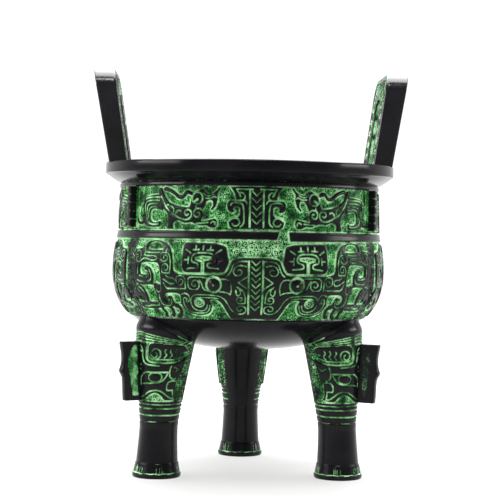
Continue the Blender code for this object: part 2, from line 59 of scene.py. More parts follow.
def bowl_radius(height):
    # The ground of the relief: a full round below the widest height, nearly straight above it.
    height = np.asarray(height, float)
    drop = np.clip((WIDEST - height) / (WIDEST - BOWL_BOTTOM), 0.0, 1.0)
    below = BELLY_RADIUS * (1.0 - drop ** ROUNDNESS) ** (1.0 / ROUNDNESS)
    band_middle = (BELLY_HIGH + NECK_LOW) / 2
    rise = np.clip((height - WIDEST) / (band_middle - WIDEST), 0.0, 1.0)
    above = BELLY_RADIUS - (BELLY_RADIUS - NECK_RADIUS) * rise ** 2
    rise = np.clip((height - band_middle) / (NECK_HIGH - band_middle), 0.0, 1.0)
    above = above - (NECK_RADIUS - NECK_TOP_RADIUS) * rise
    return np.where(height <= WIDEST, below, above)


def bottom_curve(radius_share, floor, widest_radius):
    # Height of the round bottom at a share of its widest radius.
    depth = (1.0 - radius_share ** ROUNDNESS) ** (1.0 / ROUNDNESS)
    return radius_share * widest_radius, WIDEST - depth * (WIDEST - floor)


def rounded(corner, start, end, radius):
    # Points that turn a corner of a profile through a quarter, from one side to the other.
    (x, y), points = corner, []
    for step in range(5):
        turn = step / 4 * math.pi / 2
        along, across = 1.0 - math.sin(turn), 1.0 - math.cos(turn)
        points.append((x + radius * (start[0] * along + end[0] * across),
                       y + radius * (start[1] * along + end[1] * across)))
    return points


def shell_profile():
    # One way round the wall: out over the bottom, up the outside, over the rim and down the inside.
    low_radius = float(bowl_radius(BELLY_LOW))
    profile = []
    for step in range(1, 17):
        share = low_radius / BELLY_RADIUS * math.sin(step / 16 * math.pi / 2)
        profile.append(bottom_curve(share, BOWL_BOTTOM, BELLY_RADIUS))
    profile[-1] = (low_radius + 0.5, BELLY_LOW - 0.5)
    profile.append((low_radius + 0.3, BELLY_LOW + 0.2))
    for height in np.linspace(BELLY_LOW + 0.5, NECK_HIGH - 0.5, 19):
        profile.append((float(bowl_radius(height)) - SET_BACK, float(height)))
    bead = NECK_TOP_RADIUS + BEAD_PROUD
    profile += [(bead - 0.5, NECK_HIGH - 0.1), (bead, NECK_HIGH + 0.5), (bead, NECK_HIGH + 2.2),
                (bead - 0.5, NECK_HIGH + 2.9), (bead - 0.7, COVE_FOOT)]
    for step in range(1, 9):
        share = step / 8
        profile.append((bead - 0.6 + (RIM_RADIUS - bead - 0.4) * share,
                        NECK_HIGH + 3.5 + (RIM_LOW - NECK_HIGH - 3.6) * share ** 1.25))
    profile += rounded((RIM_RADIUS, RIM_LOW), (-1, 0), (0, 1), 0.8)
    profile += rounded((RIM_RADIUS, RIM_TOP), (0, -1), (-1, 0), 1.3)
    profile += rounded((MOUTH_RADIUS, RIM_TOP), (1, 0), (0, -1), 1.6)
    for height in np.linspace(RIM_TOP - 5.0, WIDEST + 2.0, 10):
        profile.append((min(MOUTH_RADIUS, float(bowl_radius(height)) - WALL), float(height)))
    for step in range(13, 0, -1):
        share = math.sin(step / 14 * math.pi / 2)
        profile.append(bottom_curve(share, BOWL_BOTTOM + WALL, BELLY_RADIUS - WALL))
    return profile


def turned_on_lathe(name, profile, sides):
    # A ring of the first profile point, drawn on from ring to ring, with both middles filled.
    bpy.ops.object.select_all(action='DESELECT')
    start_radius, start_height = profile[0]
    bpy.ops.mesh.primitive_circle_add(vertices=sides, radius=start_radius * MM,
                                      location=(0.0, 0.0, start_height * MM))
    item = bpy.context.active_object
    item.name = name
    bpy.ops.object.mode_set(mode='EDIT')
    for (radius, height), (next_radius, next_height) in zip(profile, profile[1:]):
        lift = (0.0, 0.0, (next_height - height) * MM)
        bpy.ops.mesh.extrude_edges_move(TRANSFORM_OT_translate={"value": lift})
        grow = next_radius / radius
        bpy.ops.transform.resize(value=(grow, grow, 1.0),
                                 center_override=(0.0, 0.0, next_height * MM))
    bpy.ops.mesh.select_all(action='SELECT')
    bpy.ops.mesh.fill_holes(sides=0)
    bpy.ops.mesh.normals_make_consistent(inside=False)
    bpy.ops.object.mode_set(mode='OBJECT')
    bpy.ops.object.transform_apply(location=True, rotation=True, scale=True)
    return item


def soft_step(low, high, value):
    share = np.clip((value - low) / (high - low), 0.0, 1.0)
    return share * share * (3.0 - 2.0 * share)


def point_values(item, name, values):
    # A value for each point of a piece, which its material reads.
    layer = item.data.attributes.new(name, 'FLOAT', 'POINT')
    layer.data.foreach_set("value", np.asarray(values, np.float32).ravel())


def node(tree, kind, **settings):
    made = tree.nodes.new("ShaderNode" + kind)
    for key, value in settings.items():
        if key in made.inputs:
            made.inputs[key].default_value = value
        else:
            setattr(made, key, value)
    return made


def noise(tree, coordinates, size, detail=3.0, roughness=0.55):
    # Soft noise whose blotches are about the given size in millimetres.
    made = node(tree, "TexNoise", Scale=1.0 / (size * MM), Detail=detail, Roughness=roughness)
    tree.links.new(coordinates, made.inputs["Vector"])
    return made.outputs["Fac"]


def ramp(tree, value, stops):
    made = tree.nodes.new("ShaderNodeValToRGB")
    while len(made.color_ramp.elements) < len(stops):
        made.color_ramp.elements.new(0.5)
    for element, (place, colour) in zip(made.color_ramp.elements, stops):
        element.position = place
        element.color = (*colour, 1.0)
    tree.links.new(value, made.inputs["Fac"])
    return made.outputs["Color"]


def sums(tree, operation, first, second):
    made = node(tree, "Math", operation=operation)
    for socket, value in zip(made.inputs, (first, second)):
        if isinstance(value, (int, float)):
            socket.default_value = value
        else:
            tree.links.new(value, socket)
    return made.outputs["Value"]


def spread(tree, value, low, high, new_low=0.0, new_high=1.0):
    made = node(tree, "MapRange")
    made.interpolation_type = 'SMOOTHSTEP'
    for index, number in enumerate((low, high, new_low, new_high), start=1):
        made.inputs[index].default_value = number
    tree.links.new(value, made.inputs["Value"])
    return made.outputs["Result"]


def blended(tree, share, first, second, kind='RGBA'):
    made = node(tree, "Mix", data_type=kind)
    sockets = [socket for socket in made.inputs if socket.enabled]
    for socket, value in zip(sockets, (share, first, second)):
        if isinstance(value, (int, float)):
            socket.default_value = value
        elif isinstance(value, tuple):
            socket.default_value = (*value, 1.0)
        else:
            tree.links.new(value, socket)
    return [socket for socket in made.outputs if socket.enabled][0]


LACQUER, LACQUER_WORN = (0.0040, 0.0036, 0.0048), (0.010, 0.009, 0.011)
PIGMENT_DEEP, PIGMENT = (0.003, 0.024, 0.006), (0.016, 0.190, 0.030)
# The palest green is used for pale pigment and for painted highlights.
PIGMENT_LIGHT, PALE_PIGMENT_AND_HIGHLIGHT = (0.120, 0.540, 0.135), (0.560, 0.930, 0.540)
FINE_GRAIN, BROAD_GRAIN, CLOUDS = 0.9, 7.0, 28.0
CHALKY, CHALK_SHINE = 0.74, 0.12


def bronze_finish(name, gloss, shine):
    # Lacquer on what stands proud, pigment in the hollows: "patina" says how much is left of it,
    # "pale" where the green is pale: pale pigment, and along edges also a painted highlight.
    material = bpy.data.materials.new(name)
    material.use_nodes = True
    tree = material.node_tree
    shader = tree.nodes["Principled BSDF"]
    place = tree.nodes.new("ShaderNodeTexCoord").outputs["Object"]
    patina = node(tree, "Attribute", attribute_name="patina").outputs["Fac"]
    pale = node(tree, "Attribute", attribute_name="pale").outputs["Fac"]
    fine = noise(tree, place, FINE_GRAIN, 4.0, 0.65)
    broad = noise(tree, place, BROAD_GRAIN)
    cloud = noise(tree, place, CLOUDS, 2.0)

    def weighed(fine_share, broad_share):
        return sums(tree, 'ADD', sums(tree, 'MULTIPLY', fine, fine_share),
                    sums(tree, 'MULTIPLY', broad, broad_share))

    uneven = sums(tree, 'MULTIPLY', sums(tree, 'SUBTRACT', weighed(0.62, 0.38), 0.5), 0.9)
    cover = spread(tree, sums(tree, 'ADD', patina, uneven), 0.30, 0.62)
    pigment = ramp(tree, weighed(0.40, 0.60), [(0.40, PIGMENT_DEEP), (0.47, PIGMENT),
                                               (0.55, PIGMENT_LIGHT), (0.63, PALE_PIGMENT_AND_HIGHLIGHT)])
    # Pale pigment, and along edges painted highlight, mixed in where the pale value is high.
    pale_pigment_and_highlight = sums(tree, 'MULTIPLY', pale, spread(tree, broad, 0.30, 0.62))
    pigment = blended(tree, pale_pigment_and_highlight, pigment, PALE_PIGMENT_AND_HIGHLIGHT)
    lacquer = ramp(tree, cloud, [(0.35, LACQUER), (0.75, LACQUER_WORN)])
    tree.links.new(blended(tree, cover, lacquer, pigment), shader.inputs["Base Color"])

    smooth = spread(tree, fine, 0.3, 0.8, gloss - 0.03, gloss + 0.09)
    tree.links.new(blended(tree, cover, smooth, CHALKY, 'FLOAT'), shader.inputs["Roughness"])
    bump = node(tree, "Bump", Strength=0.25, Distance=0.12 * MM)
    tree.links.new(sums(tree, 'MULTIPLY', fine, spread(tree, cover, 0.0, 1.0, 0.12, 1.0)),
                   bump.inputs["Height"])
    tree.links.new(bump.outputs["Normal"], shader.inputs["Normal"])
    tree.links.new(blended(tree, cover, shine, CHALK_SHINE, 'FLOAT'),
                   shader.inputs["Specular IOR Level"])
    return material


def finished(item, material, smooth_angle=None):
    # Finish, ride and stand-in of a piece of the casting.
    item.data.materials.clear()
    item.data.materials.append(material)
    bpy.ops.object.select_all(action='DESELECT')
    item.select_set(True)
    bpy.context.view_layer.objects.active = item
    if smooth_angle is None:
        bpy.ops.object.shade_smooth()
    else:
        bpy.ops.object.shade_smooth_by_angle(angle=math.radians(smooth_angle))
    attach(item, "root")
    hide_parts("ding_vessel")


shell = turned_on_lathe("bowl_shell", shell_profile(), LATHE_SIDES)
heights = np.array([vertex.co.z for vertex in shell.data.vertices]) / MM
radii = np.array([math.hypot(vertex.co.x, vertex.co.y) for vertex in shell.data.vertices]) / MM
under_bead = (abs(heights - COVE_FOOT) < 0.5) & (radii > MOUTH_RADIUS + 2)
point_values(shell, "patina", np.where(under_bead, 0.30, 0.0))
point_values(shell, "pale", np.zeros(len(heights)))
# The rim's front sags by a good millimetre.
bearing = np.array([-vertex.co.y for vertex in shell.data.vertices]) / MM / np.maximum(radii, 1.0)
sag = RIM_SAG * soft_step(0.0, 1.0, bearing) * soft_step(NECK_HIGH, RIM_LOW, heights)
for vertex, drop in zip(shell.data.vertices, sag):
    vertex.co.z -= float(drop) * MM
finished(shell, bronze_finish("Lacquered bronze", 0.16, 0.12), 40.0)

# Belly register and plain band
# Three units of a mask seen full face, each mirrored about a ribbed column and ending over a leg.
# Cast with the wall from a carved mould, so the figures stand 1.7 mm proud of a ground of squared
# spirals; lines are cut into them, and green pigment is rubbed into all that lies low.
UNIT_HALF, UNIT_TURN, PAST_HALF = 90.0, 60.0, 92.0
DRAWN_TILT = math.tan(math.radians(1.0))
MOULD_PITCH = 0.42
RELIEF = 1.65
LINE_WIDTH, BOLD_LINE, LINE_DEPTH = 0.62, 0.85, 0.8
GROUND_LINE = 0.5
SPIRAL_CELL, SPIRAL_PITCH = 4.3, 1.35
MASK_ANGLES = {"front": 270.0, "right": 30.0, "left": 150.0}
COLUMN_HALF, COLUMN_RIBS = 4.2, 3.38
EYE_CENTRE, EYE_WIDE, EYE_HIGH, EYE_REACH = (24.9, 21.8), 4.45, 4.6, 4.9
HORN_MIDDLE = 31.8
MOULD_SEAM = (13.6, 20.6, 0.9)
RUBBED_SPOT = ((23.0, 36.0), 6.5)


def flowing(points, closed=False, steps=5):
    # A smooth curve through points, as a carver draws it.
    points = [np.array(point, float) for point in points]
    count = len(points)
    spans = count if closed else count - 1
    curve = []
    for index in range(spans):
        if closed:
            four = [points[(index + shift) % count] for shift in (-1, 0, 1, 2)]
        else:
            four = [points[min(max(index + shift, 0), count - 1)] for shift in (-1, 0, 1, 2)]
        for step in range(steps):
            t = step / steps
            curve.append(tuple(0.5 * (2 * four[1] + (four[2] - four[0]) * t
                                      + (2 * four[0] - 5 * four[1] + 4 * four[2] - four[3]) * t ** 2
                                      + (3 * four[1] - four[0] - 3 * four[2] + four[3]) * t ** 3)))
    if not closed:
        curve.append(tuple(points[-1]))
    return curve


def curl(centre, radius, turns, start):
    # A spiral that winds in to its centre; the start is an angle in degrees.
    steps = int(turns * 14)
    path = []
    for step in range(steps + 1):
        share = step / steps
        angle = math.radians(start) + share * turns * 2 * math.pi
        reach = radius * (1.0 - 0.86 * share)
        path.append((centre[0] + reach * math.cos(angle), centre[1] + reach * math.sin(angle)))
    return path


def ellipse(centre, wide, high):
    # Its last point is its first, so that it serves as a line and as an outline.
    turns = [step / 22 * 2 * math.pi for step in range(23)]
    return [(centre[0] + wide * math.cos(turn), centre[1] + high * math.sin(turn)) for turn in turns]


def even_steps(low, high, pitch):
    return np.linspace(low, high, int(round((high - low) / pitch)) + 1)


class Panel:
    # Half a unit of the mould laid flat: millimetres across and up, with what stands and what is cut.
    def __init__(self, across, up, tilt=0.0):
        self.across, self.up = np.meshgrid(across, up)
        self.drawn_up = self.up + tilt * self.across
        self.inside = np.full(self.across.shape, -9.0)
        self.cut = np.zeros(self.across.shape)
        self.wear = np.zeros(self.across.shape)

    def window(self, points, margin):
        # The rows and columns round some points, none where they lie off the panel.
        xs, ys = zip(*points)
        near = ((self.across > min(xs) - margin) & (self.across < max(xs) + margin)
                & (self.drawn_up > min(ys) - margin) & (self.drawn_up < max(ys) + margin))
        if not near.any():
            return slice(0, 0), slice(0, 0)
        rows, columns = np.where(near.any(axis=1))[0], np.where(near.any(axis=0))[0]
        return slice(rows[0], rows[-1] + 1), slice(columns[0], columns[-1] + 1)

    def from_line(self, path, margin=2.0):
        # Distance from a line, over the window round it.
        window = self.window(path, margin)
        x, y = self.across[window], self.drawn_up[window]
        best = np.full(x.shape, 9.0)
        for (x0, y0), (x1, y1) in zip(path, path[1:]):
            along, rise = x1 - x0, y1 - y0
            length = max(along ** 2 + rise ** 2, 1e-9)
            share = np.clip(((x - x0) * along + (y - y0) * rise) / length, 0.0, 1.0)
            best = np.minimum(best, np.hypot(x - x0 - share * along, y - y0 - share * rise))
        return window, best

    def from_edge(self, outline):
        # Distance inside an outline, negative outside it.
        closed = list(outline) + [outline[0]]
        window, best = self.from_line(closed)
        x, y = self.across[window], self.drawn_up[window]
        within = np.zeros(x.shape, bool)
        for (x0, y0), (x1, y1) in zip(closed, closed[1:]):
            if y0 != y1:
                crossed = ((y0 <= y) & (y < y1)) | ((y1 <= y) & (y < y0))
                within ^= crossed & (x < x0 + (y - y0) * (x1 - x0) / (y1 - y0))
        return window, np.where(within, best, -best)

    def stand(self, *outlines):
        for outline in outlines:
            window, depth = self.from_edge(outline)
            self.inside[window] = np.maximum(self.inside[window], depth)

    def stand_band(self, path, width):
        window, away = self.from_line(path, width / 2 + 2.0)
        self.inside[window] = np.maximum(self.inside[window], width / 2 - away)

    def sink(self, *outlines):
        for outline in outlines:
            window, depth = self.from_edge(outline)
            self.inside[window] = np.minimum(self.inside[window], -depth)

    def line(self, *paths, width=LINE_WIDTH):
        for path in paths:
            window, away = self.from_line(path, width)
            mark = 1.0 - soft_step(width * 0.22, width * 0.78, away)
            self.cut[window] = np.maximum(self.cut[window], mark)

    def curves(self, *paths, width=LINE_WIDTH):
        # Lines cut smoothly through their points.
        self.line(*[flowing(path) for path in paths], width=width)

    def ground_spirals(self):
        # Squared spirals in uneven rows, each wound against its neighbour.
        x = self.across / SPIRAL_CELL + 0.22 * np.sin(self.drawn_up * 0.53 + self.across * 0.11)
        y = self.drawn_up / SPIRAL_CELL + 0.24 * np.sin(self.across * 0.41 + 1.3)
        column, row = np.floor(x), np.floor(y)
        x, y = (x - column - 0.5) * SPIRAL_CELL, (y - row - 0.5) * SPIRAL_CELL
        hand = np.where((column + row) % 2 > 0.5, 1.0, -1.0)
        reach = (np.abs(x) ** 5 + np.abs(y) ** 5) ** 0.2
        wind = reach / SPIRAL_PITCH + hand * np.arctan2(y, x) / (2 * math.pi)
        return soft_step(-0.25, 0.45, np.cos(2 * math.pi * wind))

    def carved(self, relief=RELIEF, line_depth=LINE_DEPTH, eased=0.25):
        # Height over the ground, how much pigment stays, and where it is pale.
        form = soft_step(-0.22, 0.34, self.inside)
        away = soft_step(0.55, 1.0, -self.inside)
        spirals = self.ground_spirals() * away
        top = relief - line_depth * self.cut - eased * soft_step(0.9, 0.2, self.inside)
        height = form * top + (1.0 - form) * GROUND_LINE * spirals
        patina = np.maximum((1.0 - form) * (1.0 - 0.92 * spirals), self.cut * form)
        # Pale green along the foot of each raised form: partly pigment, partly painted highlight.
        pale_edge_pigment_and_highlight = 0.9 * np.exp(-((self.inside + 0.4) / 0.42) ** 2)
        left = 1.0 - self.wear
        return height, patina * left, np.maximum(pale_edge_pigment_and_highlight, 0.4 * self.cut) * left


def mask_figure(panel):
    # Half of one belly mask, from the middle of its nose outwards.
    panel.stand(
        flowing([(-4, 37.7), (-1, 37.7), (4, 37.8), (8, 37.7), (12.6, 37), (14.6, 35.4),
            (15.8, 32.4), (17.2, 29.6), (19.4, 27.9), (25, 27.5), (44.4, 27.9), (47.8, 28.5),
            (50.4, 29.8), (51.4, 32), (52, 37.6), (53.4, 42.4), (56, 45.6), (60, 47.5), (66, 48.4),
            (72, 47.9), (75.4, 45.8), (77.4, 44), (82.6, 43.4), (84.3, 41.4), (84.7, 36),
            (84.3, 25), (82.8, 22.2), (79, 21.3), (67.8, 21.2), (66.2, 18.6), (65.2, 15), (65, 8.4),
            (60, 8), (55, 8), (50.6, 9.3), (48, 10), (46.2, 7.4), (44.4, 5.6), (41, 4), (36, 3.4),
            (31.4, 3.8), (28.4, 5.4), (27, 8), (26.8, 10), (27.8, 12.2), (25.4, 12.9), (22.6, 12.2),
            (20.2, 9.8), (18, 5.8), (15.8, 1.9), (14.2, 0.8), (8, 0.9), (4, 0.9), (-1, 0.9),
            (-4, 0.9)], closed=True, steps=4))
    panel.sink(
        flowing([(62.4, 33.4), (64.6, 34.7), (70, 35), (76.6, 34.6), (78.1, 33), (78.1, 29.4),
            (76.6, 27.7), (73, 27.5), (71.4, 28.4), (71.9, 29.7), (73.9, 30.4), (74.1, 31.8),
            (72.8, 33), (70.2, 32.6), (67.7, 30.4), (66.5, 27.6), (66.4, 24.6), (67, 22.3),
            (64.6, 22.8), (61.2, 22), (60.8, 25.6), (61.4, 30)], closed=True),
        flowing([(59.3, 43.4), (60.6, 45.8), (63.4, 47.3), (67, 47.6), (70.4, 46.8), (72, 44.8),
            (71.9, 43.4), (70, 42.7), (61, 42.6)], closed=True),
        flowing([(47.7, 15.8), (47.8, 10.8), (51.8, 10.6), (52.6, 12), (53.4, 14.6), (55.4, 15.1),
            (57, 14.2), (56.8, 12.8), (55.4, 12.2), (55.6, 10.9), (57.8, 10.8), (59.4, 12.4),
            (59.3, 14.6), (57.6, 16.1), (54, 16.5)], closed=True),
        ellipse((35.0, 10.9), 3.6, 2.7))
    panel.stand_band(curl((35.0, 10.9), 2.1, 1.3, 200), 0.7)


def mask_outworks(panel):
    # Horn, leaf, claws and the bar under them, each standing free of the face.
    panel.stand(
        flowing([(20.4, 45.3), (25, 46.3), (35, 46.8), (42.6, 46.9), (44.6, 45.6), (45.3, 42),
            (45.4, 34), (44.9, 31), (43, 29.2), (35, 28.9), (20.6, 28.9), (18, 30.2), (16.6, 33),
            (15.9, 35.6), (16.6, 39), (17.4, 43), (18.6, 44.6)], closed=True),
        flowing([(73.2, 11.4), (73.2, 15), (75, 18.6), (78, 20.9), (82.4, 21.2), (84.4, 19),
            (87, 15.4), (86.8, 12.2), (83.6, 10), (79, 9.8), (75.6, 10.2)], closed=True),
        flowing([(64, 10.8), (64.8, 7.4), (70, 7), (78, 6.8), (84, 7.6), (84, 9.4), (75, 10.2),
            (73.6, 11.1), (66, 11)], closed=True))
    panel.sink(
        [(26.2, 38.4), (26.6, 36.6), (30.9, 35.9), (30.9, 28.4), (32.9, 28.4), (32.9, 35.3),
         (36.8, 36.4), (37.2, 38.2), (32, 38.9)],
        flowing([(75.8, 11.2), (77.2, 13.4), (79.6, 14.2), (80.8, 13.4), (80, 12.2), (82.4, 12),
            (85.6, 13.8), (84.6, 11), (80, 10.6)], closed=True))
    for claw in ([(52, 8.8), (49.6, 8), (48.9, 6), (50, 3.8), (51.6, 3)],
                 [(57.6, 8.8), (55.7, 7), (55.3, 4.8), (57, 2.8)],
                 [(64, 9.4), (63, 6.4), (61.8, 4.4), (62.8, 2.6)]):
        panel.stand_band(flowing(claw), 2.6)


def column_lines(panel, low, high, tips, arm=2.6):
    # The ribbed column that stands where the two halves of a mask meet.
    panel.line([(COLUMN_HALF, low), (COLUMN_HALF, high)], width=1.0)
    panel.line(*[[(0.0, tip), (arm, tip + arm)] for tip in tips])


def face_lines(panel):
    column_lines(panel, 4.2, 35.8, [6.2 + COLUMN_RIBS * number for number in range(9)])
    panel.curves(
        [(5.2, 35.6), (9.8, 35.5), (13.0, 34), (14.2, 31), (15.6, 28.2), (17, 26.8)],
        [(5.6, 32.6), (9.4, 33.2), (12, 32), (13.2, 29.6), (12.2, 27.6), (10.2, 27.1), (8.5, 28),
         (8.3, 29.7), (9.6, 30.7), (10.6, 30)],
        [(11.7, 18.6), (11.2, 15.9), (10.1, 15.2), (8.9, 16.6), (9.3, 18.8), (10.9, 20.4)],
        [(10.5, 20.2), (8.2, 18.6), (6.7, 16.6), (6.1, 14), (6.1, 10.8)],
        [(6.2, 10.7), (9.5, 10.4), (11, 11.6), (11, 13.4), (9.6, 14.2), (8, 13.6), (8, 12.4),
         (9.2, 12.3)],
        [(8.3, 6.9), (9.2, 6), (10.8, 6.3), (11.3, 7.5), (10.2, 8.7), (7.8, 8.9), (5.9, 7.8),
         (5.7, 6), (7, 4.6), (9.4, 4.1), (12.5, 4.8), (15, 7), (16.8, 10.2), (18.6, 12.8),
         (21.6, 14.7), (26, 15.4), (32, 15.7), (37.2, 15.5), (39.6, 13.8), (40.3, 11), (39.2, 7.8),
         (36.6, 6.2), (33, 6.1), (30.6, 7.4), (29.6, 9.8)],
        [(22.4, 13.4), (26, 13.9), (32.6, 14), (36.8, 13.7)],
        [(27.9, 9.6), (29.2, 6.4), (31.6, 4.9), (36, 4.6), (40.4, 5), (43.4, 6.5), (45, 9),
         (45.2, 12.4), (44, 13.9), (42.7, 13.2), (43.2, 12.2)],
        [(43.6, 11.3), (41.6, 11.8), (40.7, 13.6), (41.5, 15.6), (43.6, 16.5), (46.2, 15.8)])
    panel.line([(4.6, 26.7), (10.2, 23.0), (4.8, 19.2)])


def eye_lines(panel):
    panel.line(ellipse(EYE_CENTRE, EYE_WIDE, EYE_HIGH), width=1.1)
    panel.line([(24.8, 21.4), (25.0, 21.6)], width=1.3)
    panel.curves(
        [(20.7, 24.9), (18, 25), (15.6, 23.8), (14.5, 21), (14.4, 18.6), (14.9, 15.9)],
        [(14.9, 15.9), (17.5, 17.1), (22, 17.6), (27, 17.8), (30.4, 18.7), (31.6, 20.4),
         (32.6, 22.8), (33.9, 24.6)],
        [(28.4, 25.4), (30, 25.9), (34, 26.2), (39.2, 26.2), (40.8, 25), (41, 22.5), (40.6, 20),
         (38.6, 18.9), (35.8, 18.9), (34, 20.4), (33.8, 22.6), (35, 24.2), (37, 24.3), (38.4, 23),
         (38.3, 21.4), (36.9, 20.8), (36, 21.6)],
        [(42.9, 24.8), (44.4, 26.6), (47, 27.2), (48.8, 26), (49, 23.6), (48, 21.9), (46, 21.5),
         (44.5, 22.8), (44.6, 24.5), (46, 25), (47.1, 24.1)],
        [(56.3, 27.1), (54.8, 26), (51.2, 25.4), (50.2, 24), (50.8, 22.5), (53, 22.2), (55, 22.9),
         (57.2, 24.2), (58.5, 25)])
    panel.line([(42.9, 24.8), (42.8, 19.2), (55.6, 19.3), (57.2, 20.4), (58.3, 22.8)])


def horn_lines(panel):
    # The horn's scroll on both sides of its stem, and the short strokes that ring it.
    scroll = [(0, 40.8), (3.4, 40.6), (5.9, 39.6), (7.1, 37.4), (6.6, 35.5), (4.8, 34.8), (3.2, 34.1),
              (3.1, 32.6), (4.4, 31.8), (7.2, 31.6), (9.8, 31.2)]
    strokes = [[(4.7, 45), (4.4, 43)], [(2.6, 42.7), (6.2, 42.6)], [(11.2, 42.8), (8, 40.7)],
               [(9, 38.4), (9.3, 34.6)], [(9.1, 36.6), (11.6, 36.6)]]
    for side, lower in ((-1, 0.4), (1, 0.0)):
        panel.curves([(HORN_MIDDLE + side * across, up) for across, up in scroll], width=BOLD_LINE)
        panel.line(*[[(HORN_MIDDLE + side * across, up - lower) for across, up in stroke]
                     for stroke in strokes], width=BOLD_LINE)
    panel.line([(31.7, 45), (31.9, 42.2)])


def arch_lines(panel):
    panel.curves(
        [(53.6, 28.6), (53.1, 34), (53.7, 38), (55.2, 40.4), (58, 40.9), (60.9, 40.4), (61, 37.8),
         (59.8, 36.1), (57.6, 35.7), (55.8, 36.8), (55.7, 38.4), (57, 39.4), (58.3, 38.7),
         (58.2, 37.7)],
        [(53.6, 28.6), (58.4, 28.7), (59.3, 30), (59.3, 32), (58.4, 33.8), (56.8, 34.1), (55.1, 33),
         (54.9, 31.2), (56.2, 30.2), (57.6, 30.8), (57.4, 32)],
        [(61.6, 40.9), (68, 40.9), (73.4, 41.1), (74.5, 40.1), (72.2, 39), (66, 39), (63.9, 37.9),
         (64.7, 36.5), (68, 36.3), (71, 37), (74.4, 37.5), (76.6, 36.6), (78.8, 35.5), (81, 35.5),
         (82.2, 37), (81.4, 38.4), (80, 38.2)],
        [(78.2, 37.4), (77.6, 39.6), (78.6, 41.6), (80.6, 42.4), (82.4, 41.4), (82.2, 39.8),
         (80.9, 39.8)],
        [(73.6, 41.4), (74.8, 43.4), (74.2, 45.4), (72.6, 47)],
        [(70, 30.8), (68.3, 28), (68.4, 25), (70.6, 23.6), (75, 23.2), (79, 23.5), (81.4, 24.4)],
        [(70.2, 28), (71.2, 26.6), (74, 26.1), (78.8, 26.9)],
        [(60.7, 22.4), (60.6, 20), (61.2, 17.9), (62.6, 17.1), (64.2, 17.8), (64.5, 18.8)],
        [(62.8, 15.4), (62.9, 12.4), (61.8, 9.8), (59.2, 8.9), (56, 9), (54.4, 10.6), (53.8, 12.6)],
        [(64.6, 10.2), (65.6, 9), (72, 8.8), (75, 8.3), (80, 8.3)],
        [(75.4, 16.4), (78, 19), (80.6, 20.2)])
    panel.line(
        [(56.3, 43.4), (56.9, 41.0)], [(80.7, 34.0), (80.7, 28.2)], [(80.2, 16.8), (82.2, 19.2)])


def level(height):
    # Both ends of a line that stays level although the figures are drawn on a slight tilt.
    return [(-1, height), (PAST_HALF, height + PAST_HALF * DRAWN_TILT)]


def plain_band(panel, seam):
    # The raised band over the masks. Where two mould pieces met, a strip of ground runs through it.
    low, high = BELLY_HIGH - BELLY_LOW + 0.35, NECK_LOW - BELLY_LOW - 1.1
    if seam is None:
        panel.stand(level(low) + level(high)[::-1])
        return
    left, right, step = seam
    rise = left * DRAWN_TILT
    panel.stand([(-1, low), (left - 1, low + rise), (left + 1, high + rise), (-1, high)])
    rise = right * DRAWN_TILT
    panel.stand([(right, low + rise - step), level(low)[1], level(high)[1],
                 (right - 0.5, high + rise)])


def rubbed_off(panel, rub):
    # Where hands have taken the pigment away: one spot, the unit's outer edge and its foot.
    if rub is not None:
        centre, reach = rub
        away = np.hypot(panel.across - centre[0], panel.drawn_up - centre[1])
        panel.wear = 0.75 * (1.0 - soft_step(reach * 0.5, reach, away))
    streaks = 0.5 + 0.5 * np.cos(2 * math.pi * panel.across / 1.75)
    outer = soft_step(84.0, 85.2, panel.across) * (0.25 + 0.6 * streaks)
    foot = 0.55 * soft_step(1.6, 0.2, panel.drawn_up)
    panel.wear = np.maximum(panel.wear, np.maximum(outer, foot))


def belly_half(seam=None, rub=None):
    panel = Panel(even_steps(0.0, UNIT_HALF, MOULD_PITCH),
                  even_steps(-0.4, NECK_LOW - BELLY_LOW + 0.3, MOULD_PITCH), DRAWN_TILT)
    mask_figure(panel)
    mask_outworks(panel)
    plain_band(panel, seam)
    for draw in (face_lines, eye_lines, horn_lines, arch_lines):
        draw(panel)
    panel.line(level(0.2), width=0.7)
    rubbed_off(panel, rub)
    height, patina, pale = panel.carved()
    # Painted highlight in pale green along the band's foot and in the ground over the nose.
    painted_ledge_highlight = (np.exp(-((panel.drawn_up - 47.7) / 0.55) ** 2)
             + 0.5 * soft_step(38.4, 40.0, panel.drawn_up) * soft_step(16.5, 15.0, panel.across))
    pale = np.maximum(pale, np.minimum(painted_ledge_highlight, 1.0) * (1.0 - panel.wear) * (panel.inside < 0))
    # The eye swells out, with a painted highlight in pale green along the top of its rim.
    aside, over = panel.across - EYE_CENTRE[0], panel.drawn_up - EYE_CENTRE[1]
    swell = 2.2 * soft_step(0.5, 4.6, EYE_REACH - np.hypot(aside, over))
    height = height + 0.6 * swell * (panel.inside > 0)
    rim_of_eye = np.hypot(aside / EYE_WIDE, over / EYE_HIGH)
    painted_eye_highlight = soft_step(0.35, 0.0, np.abs(rim_of_eye - 1.0)) * soft_step(23.0, 25.4, panel.drawn_up)
    return panel, height, np.maximum(patina, 0.8 * painted_eye_highlight), np.maximum(pale, painted_eye_highlight)


def whole_unit(left, right):
    # Both halves side by side, the left one turned over: across, up, height, patina and pale.
    panel = right[0]
    pairs = [(-panel.across, panel.across), (panel.up, panel.up), *zip(left[1:], right[1:])]
    return [np.concatenate([first[:, :0:-1], second], axis=1) for first, second in pairs]


def flat_sheet(name, rows, columns):
    # A flat grid of points, and the row and column of each.
    bpy.ops.object.select_all(action='DESELECT')
    bpy.ops.mesh.primitive_grid_add(x_subdivisions=columns - 1, y_subdivisions=rows - 1, size=2.0,
                                    location=(0.0, 0.0, 0.0))
    item = bpy.context.active_object
    item.name = name
    flat = np.empty(len(item.data.vertices) * 3)
    item.data.vertices.foreach_get("co", flat)
    flat = flat.reshape(-1, 3)
    column = np.rint((flat[:, 0] + 1) / 2 * (columns - 1)).astype(int)
    row = np.rint((flat[:, 1] + 1) / 2 * (rows - 1)).astype(int)
    return item, row, column


